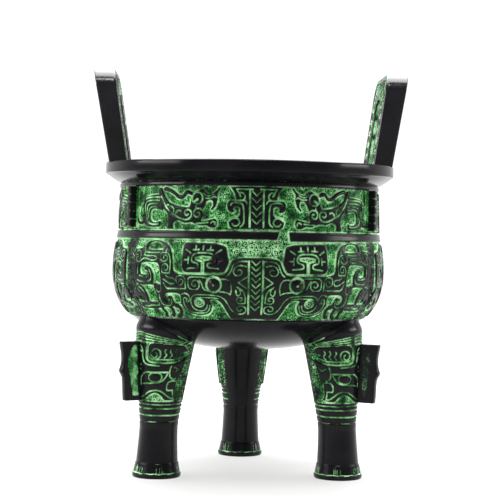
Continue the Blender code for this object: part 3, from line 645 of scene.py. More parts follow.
def closed_up(item):
    # Joins the sheet's first and last row, fills what is open and turns all faces out.
    bpy.ops.object.select_all(action='DESELECT')
    item.select_set(True)
    bpy.context.view_layer.objects.active = item
    bpy.ops.object.mode_set(mode='EDIT')
    bpy.ops.mesh.select_all(action='SELECT')
    bpy.ops.mesh.remove_doubles(threshold=0.00001)
    bpy.ops.mesh.select_all(action='DESELECT')
    bpy.ops.mesh.select_non_manifold()
    bpy.ops.mesh.fill_holes(sides=0)
    bpy.ops.mesh.select_all(action='SELECT')
    bpy.ops.mesh.normals_make_consistent(inside=False)
    bpy.ops.object.mode_set(mode='OBJECT')
    return item


def shaped(item, spots, patina, pale):
    # The sheet's points go to their places, each with its pigment, and the sheet becomes a body.
    item.data.vertices.foreach_set("co", (spots * MM).ravel())
    point_values(item, "patina", patina)
    point_values(item, "pale", pale)
    return closed_up(item)


def unit_piece(name, left, right, angle, base):
    # One carved unit of a register, rolled on to the bowl: up its front and down its plain back.
    across, up, height, patina, pale = whole_unit(left, right)
    down, columns = 8, height.shape[1]
    descent = np.linspace(up[-1, 0], up[0, 0], down)
    across = np.vstack([across, np.repeat(across[:1], down, axis=0)])
    up = np.vstack([up, np.repeat(descent[:, None], columns, axis=1)]) + base
    height = np.vstack([height, np.full((down, columns), -SET_BACK - 0.5)])
    patina, pale = [np.vstack([values, np.zeros((down, columns))]) for values in (patina, pale)]
    turned = math.radians(angle) + across / UNIT_HALF * math.radians(UNIT_TURN)
    radius = bowl_radius(up) + height
    spots = np.stack([radius * np.cos(turned), radius * np.sin(turned), up], axis=-1)
    item, row, column = flat_sheet(name, *height.shape)
    return shaped(item, spots[row, column], patina[row, column], pale[row, column])


relief_finish = bronze_finish("Pigment over lacquered relief", 0.22, 0.15)
plain_half = belly_half()
worn_half = belly_half(rub=RUBBED_SPOT)
seam_half = belly_half(seam=MOULD_SEAM)
for side, angle in MASK_ANGLES.items():
    left_half, right_half = (worn_half, seam_half) if side == "front" else (plain_half, plain_half)
    register = unit_piece("belly_mask_" + side, left_half, right_half, angle, BELLY_LOW)
    finished(register, relief_finish)

# Neck register
# Three units of two facing dragons with crest, claw and coiled tail, parted by a ribbed column.
# Cast with the wall like the masks below, and rubbed with the same green pigment.
DRAGON_TOP = NECK_HIGH - NECK_LOW - 0.6
DRAGON_RELIEF = 1.55
NECK_RIBS = 4.15


def dragon_forms(panel):
    panel.stand(
        [(-1, 0.3), (14.4, 0.3), (16.6, 1.8), (17.2, 4.4), (16.2, 6.6), (13.6, 7.6), (11.6, 7.4),
         (10.4, 8.8), (10.2, 12.6), (11.6, 13.8), (13.8, 13.4), (14.4, 12), (13.4, 11),
         (14.6, 10.2), (16.6, 10.6), (18, 12.2), (18.3, 15.4), (17, 17.2), (12.8, 17.5), (12.9, 19),
         (13.6, 21.4), (15, 23.6), (16.6, DRAGON_TOP), (-1, DRAGON_TOP)],
        flowing([(24.2, 19.9), (26.4, 20.3), (29, 19.2), (32.4, 19.6), (33.4, 20.8), (35.6, 22.8),
            (38, 23), (40.2, 21.6), (41.4, 19), (42, 16), (43.4, 13.7), (47, 13.9), (52, 14.8),
            (56, 16.2), (59.4, 18.8), (61.6, 21.6), (63.4, 25), (66, 25.6), (66.2, 22), (65.6, 19),
            (63.4, 15.4), (61, 12), (59, 10.2), (58, 8), (57.8, 4), (58.6, 1), (54, 0.6), (54, 3.4),
            (53, 5), (50, 5.6), (46, 4.2), (41, 4.4), (36, 2.6), (31.6, 2.6), (28.6, 1.2),
            (25.8, 1.2), (24.3, 3), (24.4, 5.4), (26, 6.6), (29, 6), (34.2, 5.2), (33.6, 8),
            (33.9, 11.4), (32.4, 14), (31.2, 16.6), (29.2, 17.7), (27.4, 17), (27.2, 14.4),
            (28.6, 12.2), (27.6, 11.6), (25.4, 13.8), (24.4, 16.6)], closed=True, steps=4),
        flowing([(63.4, 21), (75.6, 21.1), (79, 20), (80.2, 17), (80.2, 8), (79, 4.4), (76, 2.4),
            (68, 1.9), (64.4, 2.6), (64.6, 5.6), (67.6, 4.9), (71, 5.4), (73, 7.4), (73.2, 10.6),
            (72.4, 12.4), (70, 13.2), (64.6, 12.4), (62.2, 12.2)], closed=True))
    panel.stand_band(
        flowing([(79.4, 6.4), (81.4, 4.8), (84.4, 4.9), (86.2, 6.8), (86.7, 10), (86.6, 13.6)]),
        1.9)
    panel.stand(
        flowing([(22.8, 25.4), (25.4, 23), (28, 21.6), (30.6, 21.4), (32.6, 23), (34.4, 24),
            (36.6, 23.2), (34, 20.6), (32, 19.3), (29, 19.1), (26, 20.2), (24.6, 19.8), (23.9, 22),
            (22.4, 24.4)], closed=True))
    panel.stand_band(
        flowing([(41.6, 21.8), (44.8, 22.6), (47.2, 20.2), (50.2, 19.8), (53, 21.8), (57, 23.9),
            (61, 24.9)]),
        2.4)


def dragon_lines(panel):
    panel.curves([(26.4, 21.2), (29, 20.2), (31.4, 20.4), (33.2, 21.8)])
    column_lines(panel, 1.4, 23.8, [3.3 + NECK_RIBS * number for number in range(5)], 2.8)
    panel.curves(
        [(10.3, 22), (8.5, 21.6), (7.3, 20), (7.5, 18.4), (8.6, 17.5)],
        [(6, 15.4), (7, 17), (8.6, 17.4), (12.8, 17.3), (16.8, 17.3)],
        [(16, 14.4), (15.2, 15.7), (12.4, 16), (9.4, 15.4), (8.3, 13.8), (7.8, 10), (7.7, 5),
         (8.5, 2.8), (9.9, 1.7)],
        [(16.6, 5.2), (15.2, 6.4), (12.6, 6.9), (10.9, 5.8), (10.4, 3.8), (11.9, 2.3), (14, 2.5),
         (14.8, 3.6)],
        [(24.9, 19.2), (26.4, 19.6), (29, 18.7), (31.6, 18.8)],
        [(38.2, 14.2), (37.8, 12.9), (35.2, 12.7), (34.3, 11.8)],
        [(37.8, 12.9), (39.3, 11), (39.1, 8.8), (37.4, 7.6), (35.6, 8.6), (35.7, 10.2),
         (36.9, 10.2)],
        [(43.2, 9.3), (44.6, 8.8), (45.7, 10.2), (44.8, 11.9), (42.6, 12), (41, 10.6), (41, 8.4),
         (42.6, 6.7), (45, 6.2), (48.4, 6.9), (52, 8.6), (55.6, 10.4), (58.6, 13), (61, 16),
         (62.8, 19), (64, 20.6)],
        [(48.4, 11.4), (50.2, 11.8), (51.8, 10.8), (52.4, 9.2)],
        [(53.8, 11.2), (53.8, 12.8), (55, 14), (56.4, 14.4)],
        [(25.4, 3), (25.6, 4.4), (27, 4.8), (28, 4)], [(30, 4.4), (34, 4), (38, 3.6)],
        [(65, 20), (74.6, 20.1), (77.6, 19.2)],
        [(65.4, 18), (72, 18.2), (76.4, 17.6), (78, 15.6), (78.3, 8)],
        [(64.4, 16), (70.4, 16.3), (74.2, 15.9), (76, 14), (76.3, 8), (75.2, 5.2), (72, 3.9),
         (68, 3.6), (65.6, 3.9)],
        [(64, 13.9), (70.4, 14.4), (73.2, 13.6), (74.5, 11.6), (74.5, 8)],
        width=BOLD_LINE)
    panel.line(
        [(2.4, 23.8), (12.4, 23.9), (9.8, 19.7)], ellipse((37.2, 18.9), 3.5, 3.5),
        [(57.6, 15.2), (58.8, 15.2)],
        width=BOLD_LINE)
    panel.line(level(DRAGON_TOP + 0.3), width=1.1)
    panel.line([(37.2, 18.2), (38.8, 17.2)], width=1.4)


def neck_half():
    panel = Panel(even_steps(0.0, UNIT_HALF, MOULD_PITCH),
                  even_steps(-0.3, NECK_HIGH - NECK_LOW + 0.4, MOULD_PITCH), DRAWN_TILT)
    dragon_forms(panel)
    dragon_lines(panel)
    height, patina, pale = panel.carved(relief=DRAGON_RELIEF)
    # A flat strip beside each flange is full of pale pigment.
    strip = soft_step(85.8, 86.8, panel.across)
    return panel, height * (1.0 - strip), np.maximum(patina, strip), np.maximum(pale, strip)


dragons = neck_half()
for side, angle in MASK_ANGLES.items():
    finished(unit_piece("neck_dragons_" + side, dragons, dragons, angle, NECK_LOW), relief_finish)

# Neck flanges
# A short upright flange in line with each leg, cut with four notches that let the pigment in.
# Bronze, cast in one with the wall and lacquered like it.
FLANGE_ANGLES = {"left": 210.0, "right": 330.0, "back": 90.0}
NECK_FLANGE_OUT, NECK_FLANGE_WIDE = 5.3, 3.8
NOTCHES, NOTCH_HALF = 4, 0.5
FLANGE_SIDE_STEPS = 15


def at_angle(angle, out, aside, up):
    # Places out from the bowl's axis at an angle in degrees, and aside from that line.
    turn = math.radians(angle)
    return np.stack([out * math.cos(turn) - aside * math.sin(turn),
                     out * math.sin(turn) + aside * math.cos(turn), up], axis=-1)


def upright_ridge(name, angle, wide, heights, root, edge, groove, rubbed):
    # A ridge in the upright plane through the axis. Its sheet runs out along one side, over the edge,
    # back along the other side and through the root. Grooves cut into the edge and both sides.
    half, count = wide / 2, FLANGE_SIDE_STEPS
    sides = np.linspace(0.0, 1.0, count)
    out_share = np.concatenate([sides, np.ones(4), sides[::-1], [0.0]])
    short = np.concatenate([np.full(count, 0.5), [0.15, 0.0, 0.0, 0.15], np.full(count + 1, 0.5)])
    aside = np.concatenate([np.full(count, -half), [0.15 - half, 0.5 - half, half - 0.5, half - 0.15],
                            np.full(count, half), [-half]])
    item, row, column = flat_sheet(name, len(heights), len(aside))
    sunk, up, edge_out = np.broadcast_to(groove, heights.shape)[row], heights[row], edge[row]
    near_edge = soft_step(4.6, 3.2, (edge_out - root) * (1.0 - out_share[column]))
    out = root + (edge_out - short[column] - 0.9 * sunk - root) * out_share[column]
    spots = at_angle(angle, out, aside[column] * (1.0 - 0.22 * sunk * near_edge), up)
    return shaped(item, spots, *rubbed(out, up, sunk * near_edge))


def neck_rubbed(out, up, sunk):
    at_root = 0.75 * soft_step(NECK_RADIUS + 1.6, NECK_RADIUS + 0.5, out)
    return np.maximum(at_root, 0.38 * sunk), np.zeros(len(out))


heights = np.arange(NECK_LOW + 0.6, NECK_HIGH - 0.2, 0.3)
low, high = heights[0], heights[-1]
centres = [low + number * (high - low) / (NOTCHES + 1) for number in range(1, NOTCHES + 1)]
notches = sum(np.exp(-((heights - centre) / NOTCH_HALF) ** 4) for centre in centres)
ends = np.minimum(heights - low, high - heights)
edge = NECK_RADIUS + NECK_FLANGE_OUT - 0.8 * soft_step(1.0, 0.0, ends)
for side, angle in FLANGE_ANGLES.items():
    flange = upright_ridge("neck_flange_" + side, angle, NECK_FLANGE_WIDE, heights,
                           NECK_TOP_RADIUS - 1.0, edge, notches, neck_rubbed)
    finished(flange, relief_finish, 40.0)

# Legs
# Three cast legs that run into the bowl: a flared foot with a collar, a plain shaft with ring
# grooves, and a small mask under a combed band round the thigh. Lacquered, with pigment in the mask.
LEG_TOP, LEAN_HEIGHT = 101.0, 103.0
FOOT_RADIUS, FOOT_HEIGHT, FOOT_STEP = 15.15, 9.0, 0.7
COLLAR_RADIUS, BASE_RING = 13.7, 2.6
SHAFT_RADIUS, SHAFT_WAIST, THIGH_RADIUS = 11.9, 35.0, 18.3
LEG_MASK_LOW, LEG_MASK_HIGH = 48.0, 83.5
FOOT_RING, LEG_TOP_RING, LEAN = 65.7, 58.9, 1.6
LEG_HALF = math.pi * THIGH_RADIUS
LEG_ACROSS_PITCH, LEG_UP_PITCH = 0.54, 0.42
LEG_PLAIN_RELIEF, LEG_MASK_RELIEF = 0.25, 1.3
LEG_EYE, LEG_EYE_WIDE, LEG_EYE_HIGH = (14.3, 62.8), 4.6, 3.1
PLAIN_FROM = {"left": 54.0, "right": 54.0, "back": 42.0}
RING_GROOVES = ((45.6, 1.02), (43.1, 0.79), (38.9, 0.79), (34.8, 0.445))
CREASE_ACROSS, CREASE_UP = (0, 16, 22, 30, 36, 42), (99, 93.5, 90.6, 86.6, 84.4, 83.4)


def leg_radius(height):
    height = np.asarray(height, float)
    share = np.clip((SHAFT_WAIST - height) / (SHAFT_WAIST - FOOT_HEIGHT), 0.0, 1.0)
    flare = SHAFT_RADIUS + (COLLAR_RADIUS - FOOT_STEP - SHAFT_RADIUS) * share ** 1.7
    share = np.clip((height - SHAFT_WAIST) / (LEG_MASK_HIGH - SHAFT_WAIST), 0.0, 1.0)
    thigh = SHAFT_RADIUS + (THIGH_RADIUS - SHAFT_RADIUS) * share ** 0.95
    radius = np.where(height <= SHAFT_WAIST, flare, thigh)
    share = np.clip((height - BASE_RING) / (FOOT_HEIGHT - BASE_RING), 0.0, 1.0)
    collar = FOOT_RADIUS - (FOOT_RADIUS - COLLAR_RADIUS) * (share ** 0.8) - 0.35 * (share > 0)
    return np.where(height <= FOOT_HEIGHT, collar, radius)


def leg_ring(height):
    # How far a leg's middle stands from the bowl's axis.
    share = np.clip(np.asarray(height, float) / LEAN_HEIGHT, 0.0, 1.0)
    return FOOT_RING - (FOOT_RING - LEG_TOP_RING) * share ** LEAN


def on_leg(angle, across, up, proud):
    # Rolls millimetres across and up round a leg, which ends inside the bowl's wall.
    radius, round_leg = leg_radius(up) + proud, across / THIGH_RADIUS
    out, aside = leg_ring(up) + radius * np.cos(round_leg), radius * np.sin(round_leg)
    share = np.minimum(np.hypot(out, aside) / BELLY_RADIUS, 0.98)
    wall = bottom_curve(share, BOWL_BOTTOM, BELLY_RADIUS)[1] + 0.5
    return at_angle(angle, out, aside, np.where(up > wall, wall + 0.08 * (up - wall), up))


def leg_mask_forms(panel):
    panel.stand(
        flowing([(9.2, 82.4), (11.4, 84), (16, 83.9), (21, 83.3), (27, 82.7), (32, 81.8),
            (34, 79.6), (32, 76.6), (28.6, 75), (24, 74.1), (12, 74.4), (9.6, 75.6), (8.8, 78)],
            closed=True),
        flowing([(-5, 84.4), (-2, 84.4), (6.4, 84.2), (6.9, 80), (6.9, 75.6), (7.8, 73.2),
            (10.4, 71.8), (15, 71.4), (23, 71.3), (27.6, 71.9), (31.6, 73.4), (34.4, 75.4),
            (34.6, 73), (33.4, 69), (32.4, 66), (31.6, 63), (30, 61), (29.6, 57), (30.2, 52),
            (31.6, 49.4), (23, 48.5), (19.4, 51), (15.4, 53.1), (11.4, 52.2), (7, 49.6),
            (3.6, 48.2), (-2, 48), (-5, 48)], closed=True),
        [(44.5, -1), (60, -1), (60, 102), (44.5, 102)],
        [(-2, -1), (60, -1), (60, 47.3), (-2, 47.3)],
        [(-5, 90.6), (2, 90.6), (9, 89.1), (15, 87.9), (23, 86.3), (31, 84.7), (38, 83.4),
         (60, 83.4), (60, 104), (-5, 104)])


def leg_mask_lines(panel):
    panel.curves(
        [(0.3, 83), (3.3, 81.8), (4.6, 79), (4.8, 75), (6, 72), (8.8, 70.6), (12.8, 70.2),
         (16.5, 70)],
        [(0, 79.6), (1.8, 79.6), (4.2, 78.4)],
        [(14.6, 73.6), (16.8, 76), (16.4, 79), (14.2, 80.4), (11.6, 79.6), (10.7, 77.2), (12, 75.2),
         (13.8, 75), (14.8, 76.6), (13.8, 78)],
        [(2.8, 67.8), (1.6, 65), (1.6, 62.6)],
        [(3, 58), (3.2, 62), (4.4, 64), (7.4, 65.8), (10.8, 65.9), (23.6, 66)],
        [(5.2, 58.6), (8.8, 59), (12.8, 59.2), (16.8, 59.6), (19.8, 61), (21.4, 63), (22.4, 65)],
        [(24.4, 69.8), (23.8, 67), (24.2, 63.6), (26.4, 61.8), (28.8, 62)],
        [(26.8, 69), (28.8, 68), (28.4, 66.4)], [(28.8, 67), (30.4, 68), (32.2, 70)],
        [(28.8, 60.4), (26.2, 60.6), (23.6, 59.6), (22.7, 57), (23.5, 54.9), (26.6, 54.8),
         (27.2, 55)],
        [(-1, 49.4), (2.8, 50), (6.8, 51.8), (10.8, 54), (14.8, 54.7), (18.8, 54.2), (22.8, 51.8),
         (25.8, 50.2), (29, 49.6)],
        [(0, 54), (2.2, 53.8), (2.6, 52.6), (0.6, 51.6)],
        width=BOLD_LINE)
    panel.line(
        [(29.8, 77.4), (32.8, 78.2)], [(0, 73.2), (3.3, 70.4), (0, 67.8)],
        ellipse(LEG_EYE, LEG_EYE_WIDE, LEG_EYE_HIGH), [(27.2, 55), (28, 52), (28.8, 50)],
        width=BOLD_LINE)
    for start in (19.8, 23.2, 26.6):
        panel.curves([(start, 80), (start - 0.5, 78.6), (start + 0.7, 76.6), (start - 0.5, 74.9)],
                     width=0.7)


def combed_band(panel):
    # Fine strands that sweep round the thigh and gather towards its inner side.
    top = 90.5 - 0.195 * np.maximum(panel.across - 2.0, 0.0)
    bottom = 84.9 - 0.055 * panel.across
    share = (panel.up - bottom) / np.maximum(top - bottom, 1.4)
    strand = np.cos(2 * math.pi * (2.9 * share + 0.012 * panel.across + 0.5))
    within = soft_step(-0.05, 0.03, share) * soft_step(1.04, 0.97, share) * (panel.inside < 0.3)
    return within * soft_step(-0.25, 0.35, strand), within


def leg_rows():
    # Close together where foot, rings and mask have their detail, and wide apart between.
    return np.concatenate([np.linspace(0.0, 1.2, 4), np.linspace(1.6, 8.8, 19),
                           np.linspace(9.1, 10.2, 3), np.linspace(11.5, 33.0, 13),
                           np.arange(33.6, 92.0, LEG_UP_PITCH), np.linspace(92.6, LEG_TOP, 8)])


def leg_half(plain_from):
    panel = Panel(even_steps(0.0, LEG_HALF, LEG_ACROSS_PITCH), leg_rows())
    across, up = panel.across, panel.up
    leg_mask_forms(panel)
    leg_mask_lines(panel)
    for groove, width in RING_GROOVES:
        panel.line([(-1, groove), (60, groove)], width=width)
    mask_zone = soft_step(46.8, 48.2, up) * soft_step(85.6, 84.2, up)
    relief = LEG_PLAIN_RELIEF + LEG_MASK_RELIEF * mask_zone * soft_step(39.0, 36.0, across)
    height, patina, pale = panel.carved(relief, line_depth=0.75, eased=0.0)
    strands, combed = combed_band(panel)
    height = height * (1.0 - combed) + 0.55 * strands
    patina = patina * (1.0 - combed) + combed * 0.95 * (1.0 - strands)
    # The shoulder over the combed band, and the crease where the leg meets the bowl.
    shoulder = np.exp(-((up - 92.5) / 3.2) ** 2) - 2.3 * soft_step(93.5, LEG_TOP + 1.0, up)
    crease = np.exp(-((up - np.interp(across, CREASE_ACROSS, CREASE_UP)) / 0.45) ** 2)
    crease = crease * soft_step(12, 17, across)
    height = height + 0.7 * shoulder * (up > 86) - 0.4 * crease
    patina = np.maximum(patina, crease * (0.3 + 0.7 * soft_step(25.0, 28.0, across)))
    # The ground beside the mask keeps less pigment, and none of it pale.
    field = soft_step(29.5, 31.5, across) * mask_zone
    patina = patina * (1.0 - 0.36 * field)
    pale = pale * (1.0 - field) * (1.0 - combed) + 0.5 * combed * (1.0 - strands)
    boss = np.hypot((across - LEG_EYE[0]) / LEG_EYE_WIDE, (up - LEG_EYE[1]) / LEG_EYE_HIGH)
    height = height + 0.9 * soft_step(0.0, 0.9, 1.25 - boss) * mask_zone
    # The lowest ring groove has lost its pigment in places, and the top one has little.
    rubbed = soft_step(0.35, 0.75, 0.5 + 0.5 * np.sin(across * 0.30 + 4.2))
    patina = np.where(up < 37.0, patina * rubbed, patina)
    patina = np.where((up > 44.6) & (up < 48.0), 0.55 * patina, patina)
    # The side towards the bowl's axis is plain.
    plain = soft_step(plain_from - 3.0, plain_from + 3.0, across)
    height = height + plain * (np.maximum(height, LEG_PLAIN_RELIEF) - height)
    return (panel, *foot_marks(panel, height, patina * (1.0 - plain), pale))


def foot_marks(panel, height, patina, pale):
    # Short upright scratches on the collar, and a thin bright line under them.
    across, up = panel.across, panel.up
    comb = np.cos(across * 4.9 + 0.8 * np.sin(across * 0.7))
    patch = soft_step(-0.35, 0.5, np.sin(across * 0.33 + 0.6) + 0.5 * np.sin(across * 1.3))
    scratched = soft_step(0.2, 0.8, comb) * patch * soft_step(3.2, 3.8, up)
    scratched = scratched * soft_step(8.3, 7.4, up + 0.8 * np.sin(across * 2.1))
    line = np.exp(-((up - 3.1 - 0.12 * np.sin(across * 0.8)) / 0.36) ** 2)
    marks = np.maximum(0.7 * scratched, line * (0.85 + 0.15 * np.sin(across * 0.45 + 0.8)))
    on_foot = up < 12
    plain_height = -0.2 * marks - 0.5 * soft_step(0.9, 0.0, up)
    height = np.where(up < SHAFT_WAIST - 3, plain_height, height)
    return height, np.where(on_foot, 0.9 * marks, patina), np.where(on_foot, marks, pale)


for side, angle in FLANGE_ANGLES.items():
    half = leg_half(PLAIN_FROM[side])
    across, up, height, patina, pale = whole_unit(half, half)
    sheet, row, column = flat_sheet("leg_" + side, *height.shape)
    spots = on_leg(angle, across, up, height)[row, column]
    finished(shaped(sheet, spots, patina[row, column], pale[row, column]), relief_finish)

# Leg flanges
# The wavy ridge down the nose of each leg's mask. Bronze, cast in one with the leg and lacquered,
# with a strip of pigment left on its sides, more on the left leg than on the right.
LEG_FLANGE_OUT, LEG_FLANGE_WIDE, LEG_FLANGE_ROOT = 15.2, 4.3, 3.0
LEG_FLANGE_PIGMENT = {"left": 0.95, "right": 0.33, "back": 0.6}
FLANGE_WAVE = ((0.0, 0.79), (0.01, 0.81), (0.12, 0.83), (0.22, 0.84), (0.32, 0.85), (0.40, 0.87),
               (0.45, 0.92), (0.49, 0.98), (0.52, 1.0), (0.55, 0.985), (0.60, 0.94), (0.68, 0.905),
               (0.78, 0.91), (0.86, 0.935), (0.93, 0.97), (1.0, 1.0), (1.02, 0.985), (1.03, 0.96))
STRIP_UP, STRIP_OUT = (50, 56, 62, 70, 78, 83), (6.4, 7.4, 8.2, 9.6, 8.2, 4.8)

mask_height = LEG_MASK_HIGH - LEG_MASK_LOW
waves_up, waves_out = [np.array(values) for values in zip(*FLANGE_WAVE)]
heights = np.arange(LEG_MASK_LOW, LEG_MASK_LOW + waves_up[-1] * mask_height, 0.45)
foot_of_mask = float(leg_ring(LEG_MASK_LOW) + leg_radius(LEG_MASK_LOW))
wave = np.interp((heights - LEG_MASK_LOW) / mask_height, waves_up, waves_out)
edge = foot_of_mask + LEG_FLANGE_OUT * wave


def leg_flange_rubbed(amount):
    # A strip of pigment along both sides, palest along its middle.
    def rubbed(out, up, sunk):
        depth = out - leg_ring(up) - leg_radius(up)
        reach = np.interp(up, STRIP_UP, STRIP_OUT)
        strip = soft_step(0.5, -0.5, depth - reach) * soft_step(2.8, 3.6, depth)
        strip = strip * soft_step(50.0, 52.0, up) * soft_step(83.0, 81.6, up)
        return amount * strip, 0.5 * amount * strip * soft_step(2.0, 0.6, np.abs(depth - 6.0))
    return rubbed


for side, angle in FLANGE_ANGLES.items():
    flange = upright_ridge("leg_flange_" + side, angle, LEG_FLANGE_WIDE, heights,
                           foot_of_mask - LEG_FLANGE_ROOT, edge, 0.0,
                           leg_flange_rubbed(LEG_FLANGE_PIGMENT[side]))
    finished(flange, relief_finish, 40.0)

# Handles
# Two upright loops that stand on the rim and lean outwards, the left one a little twisted. Bronze,
# cast on with the rim; their broad faces carry fine scroll work rubbed green, their edges are plain
# and glossy.
HANDLE_WIDTH, HANDLE_LIMB, HANDLE_CROWN, HANDLE_CORNER = 55.0, 16.5, 14.0, 11.5
HANDLE_RISE, HANDLE_SINK = 58.6, 1.0
# Side, setback, lean, twist, stretch, and thickness at the foot and at the crown.
HANDLE_SETS = {"handle_left": (-1, 0.5, 9.0, 0.032, 0.99, 11.6, 13.3),
               "handle_right": (1, -1.0, 8.2, 0.0, 1.0, 12.1, 13.8)}
FACE_STEPS, SIDE_STEPS, EDGE_EASE = 34, 8, 0.5
FACE_BORDER, BORDER_LINE = 3.0, 1.7
SCROLL_STEP, SCROLL_LINE, SCROLL_DEPTH = 7.6, 1.9, 0.8


def handle_rails():
    # Matching points along the loop's outer and inner edge, over half the loop.
    outer_half = HANDLE_WIDTH / 2
    inner_half = outer_half - HANDLE_LIMB
    spring = HANDLE_RISE - HANDLE_CROWN - inner_half
    outer, inner, length = [], [], []
    for up in np.linspace(-HANDLE_SINK, spring, 84)[:-1]:
        outer.append((outer_half, up))
        inner.append((inner_half, up))
    corner = (outer_half - HANDLE_CORNER, HANDLE_RISE - HANDLE_CORNER)
    for turn in np.linspace(0.0, math.pi / 2, 76):
        direction = np.array([math.cos(turn), math.sin(turn)])
        near, far = 0.0, 2 * HANDLE_RISE
        for _ in range(40):
            reach = (near + far) / 2
            x, y = direction * reach + (0.0, spring)
            over = np.hypot(max(x - corner[0], 0.0), max(y - corner[1], 0.0)) - HANDLE_CORNER
            near, far = (near, reach) if over > 0 else (reach, far)
        outer.append(tuple(direction * near + (0.0, spring)))
        inner.append(tuple(direction * inner_half + (0.0, spring)))
    return np.array(outer), np.array(inner)


def handle_section():
    # Once round the limb: (share across the limb, share through the thickness, which broad face).
    section = [(step / FACE_STEPS, 1.0, 1) for step in range(FACE_STEPS)]
    section += [(1.0, 1.0 - step / SIDE_STEPS, 0) for step in range(SIDE_STEPS)]
    section += [(1.0 - step / FACE_STEPS, 0.0, -1) for step in range(FACE_STEPS)]
    section += [(0.0, step / SIDE_STEPS, 0) for step in range(SIDE_STEPS + 1)]
    return np.array(section)


def handle_scrolls(along, reach, limb):
    # How much each point of a broad face belongs to a scroll's raised line. The scrolls wind about
    # centres that swing from side to side along the limb.
    centre = limb / 2 + SCROLL_LINE * np.cos(2 * math.pi * (along / SCROLL_STEP))
    aside, ahead = reach - centre, SCROLL_STEP * ((along / SCROLL_STEP) % 1.0 - 0.5)
    wind = np.hypot(aside, ahead) / SCROLL_LINE + np.arctan2(ahead, aside) / (2 * math.pi)
    return soft_step(-0.35, 0.35, np.cos(2 * math.pi * wind))


def handle_piece(name, side, setback, lean, twist, stretch, thick_low, thick_high):
    outer, inner = [np.vstack([rail, (rail * (-1, 1))[::-1][1:]]) for rail in handle_rails()]
    middle = (outer + inner) / 2
    run = np.concatenate([[0.0], np.cumsum(np.hypot(*np.diff(middle, axis=0).T))])
    section = handle_section()
    item, row, column = flat_sheet(name, len(outer), len(section))
    share, through, face = section[column].T
    limb = np.hypot(*(outer - inner).T)[row]
    reach = share * limb
    from_edge = np.minimum(reach, limb - reach)
    broad = face != 0
    field = soft_step(FACE_BORDER, FACE_BORDER + 0.7, from_edge) * broad
    raised = handle_scrolls(run[row], reach, limb)
    edge_line = np.exp(-((from_edge - BORDER_LINE) / 0.4) ** 2) * broad
    # The corners of the limb are eased by drawing the outline in near each edge.
    corner = 1.0 - np.clip(from_edge / EDGE_EASE, 0, 1)
    ease = EDGE_EASE * (1.0 - np.sqrt(np.clip(1.0 - corner ** 2, 0, 1)))
    sunk = field * (1.0 - raised) * SCROLL_DEPTH + 0.45 * edge_line + np.where(broad, ease, 0.0)
    spot = outer[row] + (inner[row] - outer[row]) * share[:, None]
    aside, rise = side * spot[:, 0], spot[:, 1] / HANDLE_RISE
    thick = thick_low + (thick_high - thick_low) * rise
    side_ease = EDGE_EASE / thick
    through = np.where(broad, through, side_ease + through * (1.0 - 2 * side_ease))
    out = MOUTH_RADIUS - 0.1 + setback + lean * rise + thick * through - face * sunk
    out = out - twist * (aside + HANDLE_WIDTH / 2)
    spots = np.stack([side * out, aside, RIM_TOP + stretch * spot[:, 1]], axis=-1)
    hole = ~broad & (share > 0.5)
    patina = np.where(hole, 1.0, np.clip(field * (1.0 - 0.68 * raised) + edge_line, 0.0, 1.0))
    return shaped(item, spots, patina, np.where(hole, 0.8, 0.9 * field * (1.0 - raised)))


handle_finish = bronze_finish("Pigment in the handles' scrolls", 0.18, 0.45)
for name, bearings in HANDLE_SETS.items():
    finished(handle_piece(name, *bearings), handle_finish, 50.0)

# Studio
# Not part of the object: a matt paper floor that glows, so that it stays pale, with a painted
# shadow under the vessel and painted shade towards the camera; a broad soft light overhead, a weak
# one in front, a white card at each side, and a level camera.
CAMERA_TURN, CAMERA_ROLL = math.radians(-3.1), math.radians(1.0)
CAMERA_AWAY, CAMERA_HEIGHT = 0.946, 0.1464
PHOTO_WIDTH, FOCUS_PIXELS = 500.0, 1456.0
AXIS_PIXEL, HORIZON_PIXEL = 248.5, 243.0
PAPER_GREY = 0.16
SKY_STRENGTH = 1.15

bpy.ops.object.select_all(action='DESELECT')
bpy.ops.mesh.primitive_plane_add(size=14.0, location=(0.0, 0.0, 0.0))
floor = bpy.context.active_object
floor.name = "paper_floor"
paper = bpy.data.materials.new("Pale paper")
paper.use_nodes = True
tree = paper.node_tree
sheet = tree.nodes["Principled BSDF"]
sheet.inputs["Base Color"].default_value = (PAPER_GREY, PAPER_GREY, PAPER_GREY, 1.0)
sheet.inputs["Roughness"].default_value = 1.0
sheet.inputs["Specular IOR Level"].default_value = 0.0
sheet.inputs["Emission Color"].default_value = (1.0, 1.0, 0.99, 1.0)
place = tree.nodes.new("ShaderNodeTexCoord").outputs["Object"]
away = node(tree, "VectorMath", operation='LENGTH')
tree.links.new(place, away.inputs[0])
split = tree.nodes.new("ShaderNodeSeparateXYZ")
tree.links.new(place, split.inputs["Vector"])
# Painted shadow: the floor's emission fades under the vessel; painted shade: it fades towards the
# camera.
floor_emission_with_painted_shadow = sums(tree, 'MULTIPLY', spread(tree, away.outputs["Value"], 0.14, 0.55, 0.61, 1.0),
            spread(tree, split.outputs["Y"], -0.40, -0.13, 0.55, 1.0))
tree.links.new(floor_emission_with_painted_shadow, sheet.inputs["Emission Strength"])
floor.data.materials.append(paper)


def soft_light(name, size, place, aim, power):
    data = bpy.data.lights.new(name, 'AREA')
    data.shape = 'RECTANGLE'
    data.size, data.size_y = size
    data.energy = power
    light = bpy.data.objects.new(name, data)
    bpy.context.scene.collection.objects.link(light)
    light.location = place
    light.rotation_euler = (Vector(aim) - Vector(place)).to_track_quat('-Z', 'Y').to_euler()


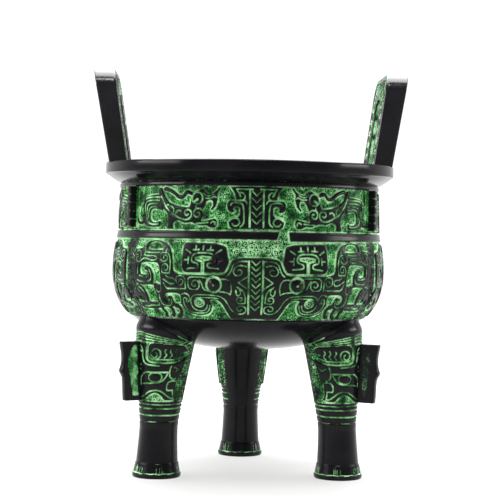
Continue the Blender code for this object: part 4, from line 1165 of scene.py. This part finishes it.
soft_light("overhead_box", (1.6, 1.6), (0.0, 0.40, 1.15), (0.0, 0.25, 0.0), 95.0)
soft_light("front_fill", (0.35, 0.25), (0.0, -1.1, 1.5), (0.0, 0.0, 0.12), 8.0)
soft_light("left_card", (1.0, 0.35), (-1.3, -0.25, 0.55), (0.0, 0.0, 0.12), 13.0)
soft_light("right_card", (0.7, 0.30), (1.3, -0.10, 0.50), (0.0, 0.0, 0.12), 7.0)

world = bpy.data.worlds.new("White studio")
bpy.context.scene.world = world
world.use_nodes = True
sky = world.node_tree
backdrop = sky.nodes["Background"]
direction = sky.nodes.new("ShaderNodeTexCoord").outputs["Generated"]
split = sky.nodes.new("ShaderNodeSeparateXYZ")
sky.links.new(direction, split.inputs["Vector"])
# White behind the vessel, darker behind the camera and high up.
depth = sums(sky, 'MULTIPLY', spread(sky, split.outputs["Y"], 0.05, 0.60, 0.24, 1.0),
             spread(sky, split.outputs["Z"], 0.17, 0.42, 1.0, 0.5))
shade = ramp(sky, depth, [(0.0, (0.0, 0.0, 0.0)), (1.0, (1.0, 1.0, 1.0))])
sky.links.new(shade, backdrop.inputs["Color"])
backdrop.inputs["Strength"].default_value = SKY_STRENGTH
bpy.context.scene.view_settings.view_transform = 'Standard'

camera_data = bpy.data.cameras.new("level_camera")
camera_data.sensor_width = 36.0
camera_data.lens = FOCUS_PIXELS / PHOTO_WIDTH * camera_data.sensor_width
camera_data.shift_x = (PHOTO_WIDTH / 2 - AXIS_PIXEL) / PHOTO_WIDTH
camera_data.shift_y = (HORIZON_PIXEL - PHOTO_WIDTH / 2) / PHOTO_WIDTH
camera = bpy.data.objects.new("level_camera", camera_data)
bpy.context.scene.collection.objects.link(camera)
spot = Vector((math.sin(CAMERA_TURN) * CAMERA_AWAY, -math.cos(CAMERA_TURN) * CAMERA_AWAY,
               CAMERA_HEIGHT))
aimed = Matrix.Rotation(math.pi / 2, 4, 'X') @ Matrix.Rotation(CAMERA_ROLL, 4, 'Z')
camera.matrix_world = Matrix.Translation(spot) @ Matrix.Rotation(CAMERA_TURN, 4, 'Z') @ aimed
bpy.context.scene.camera = camera
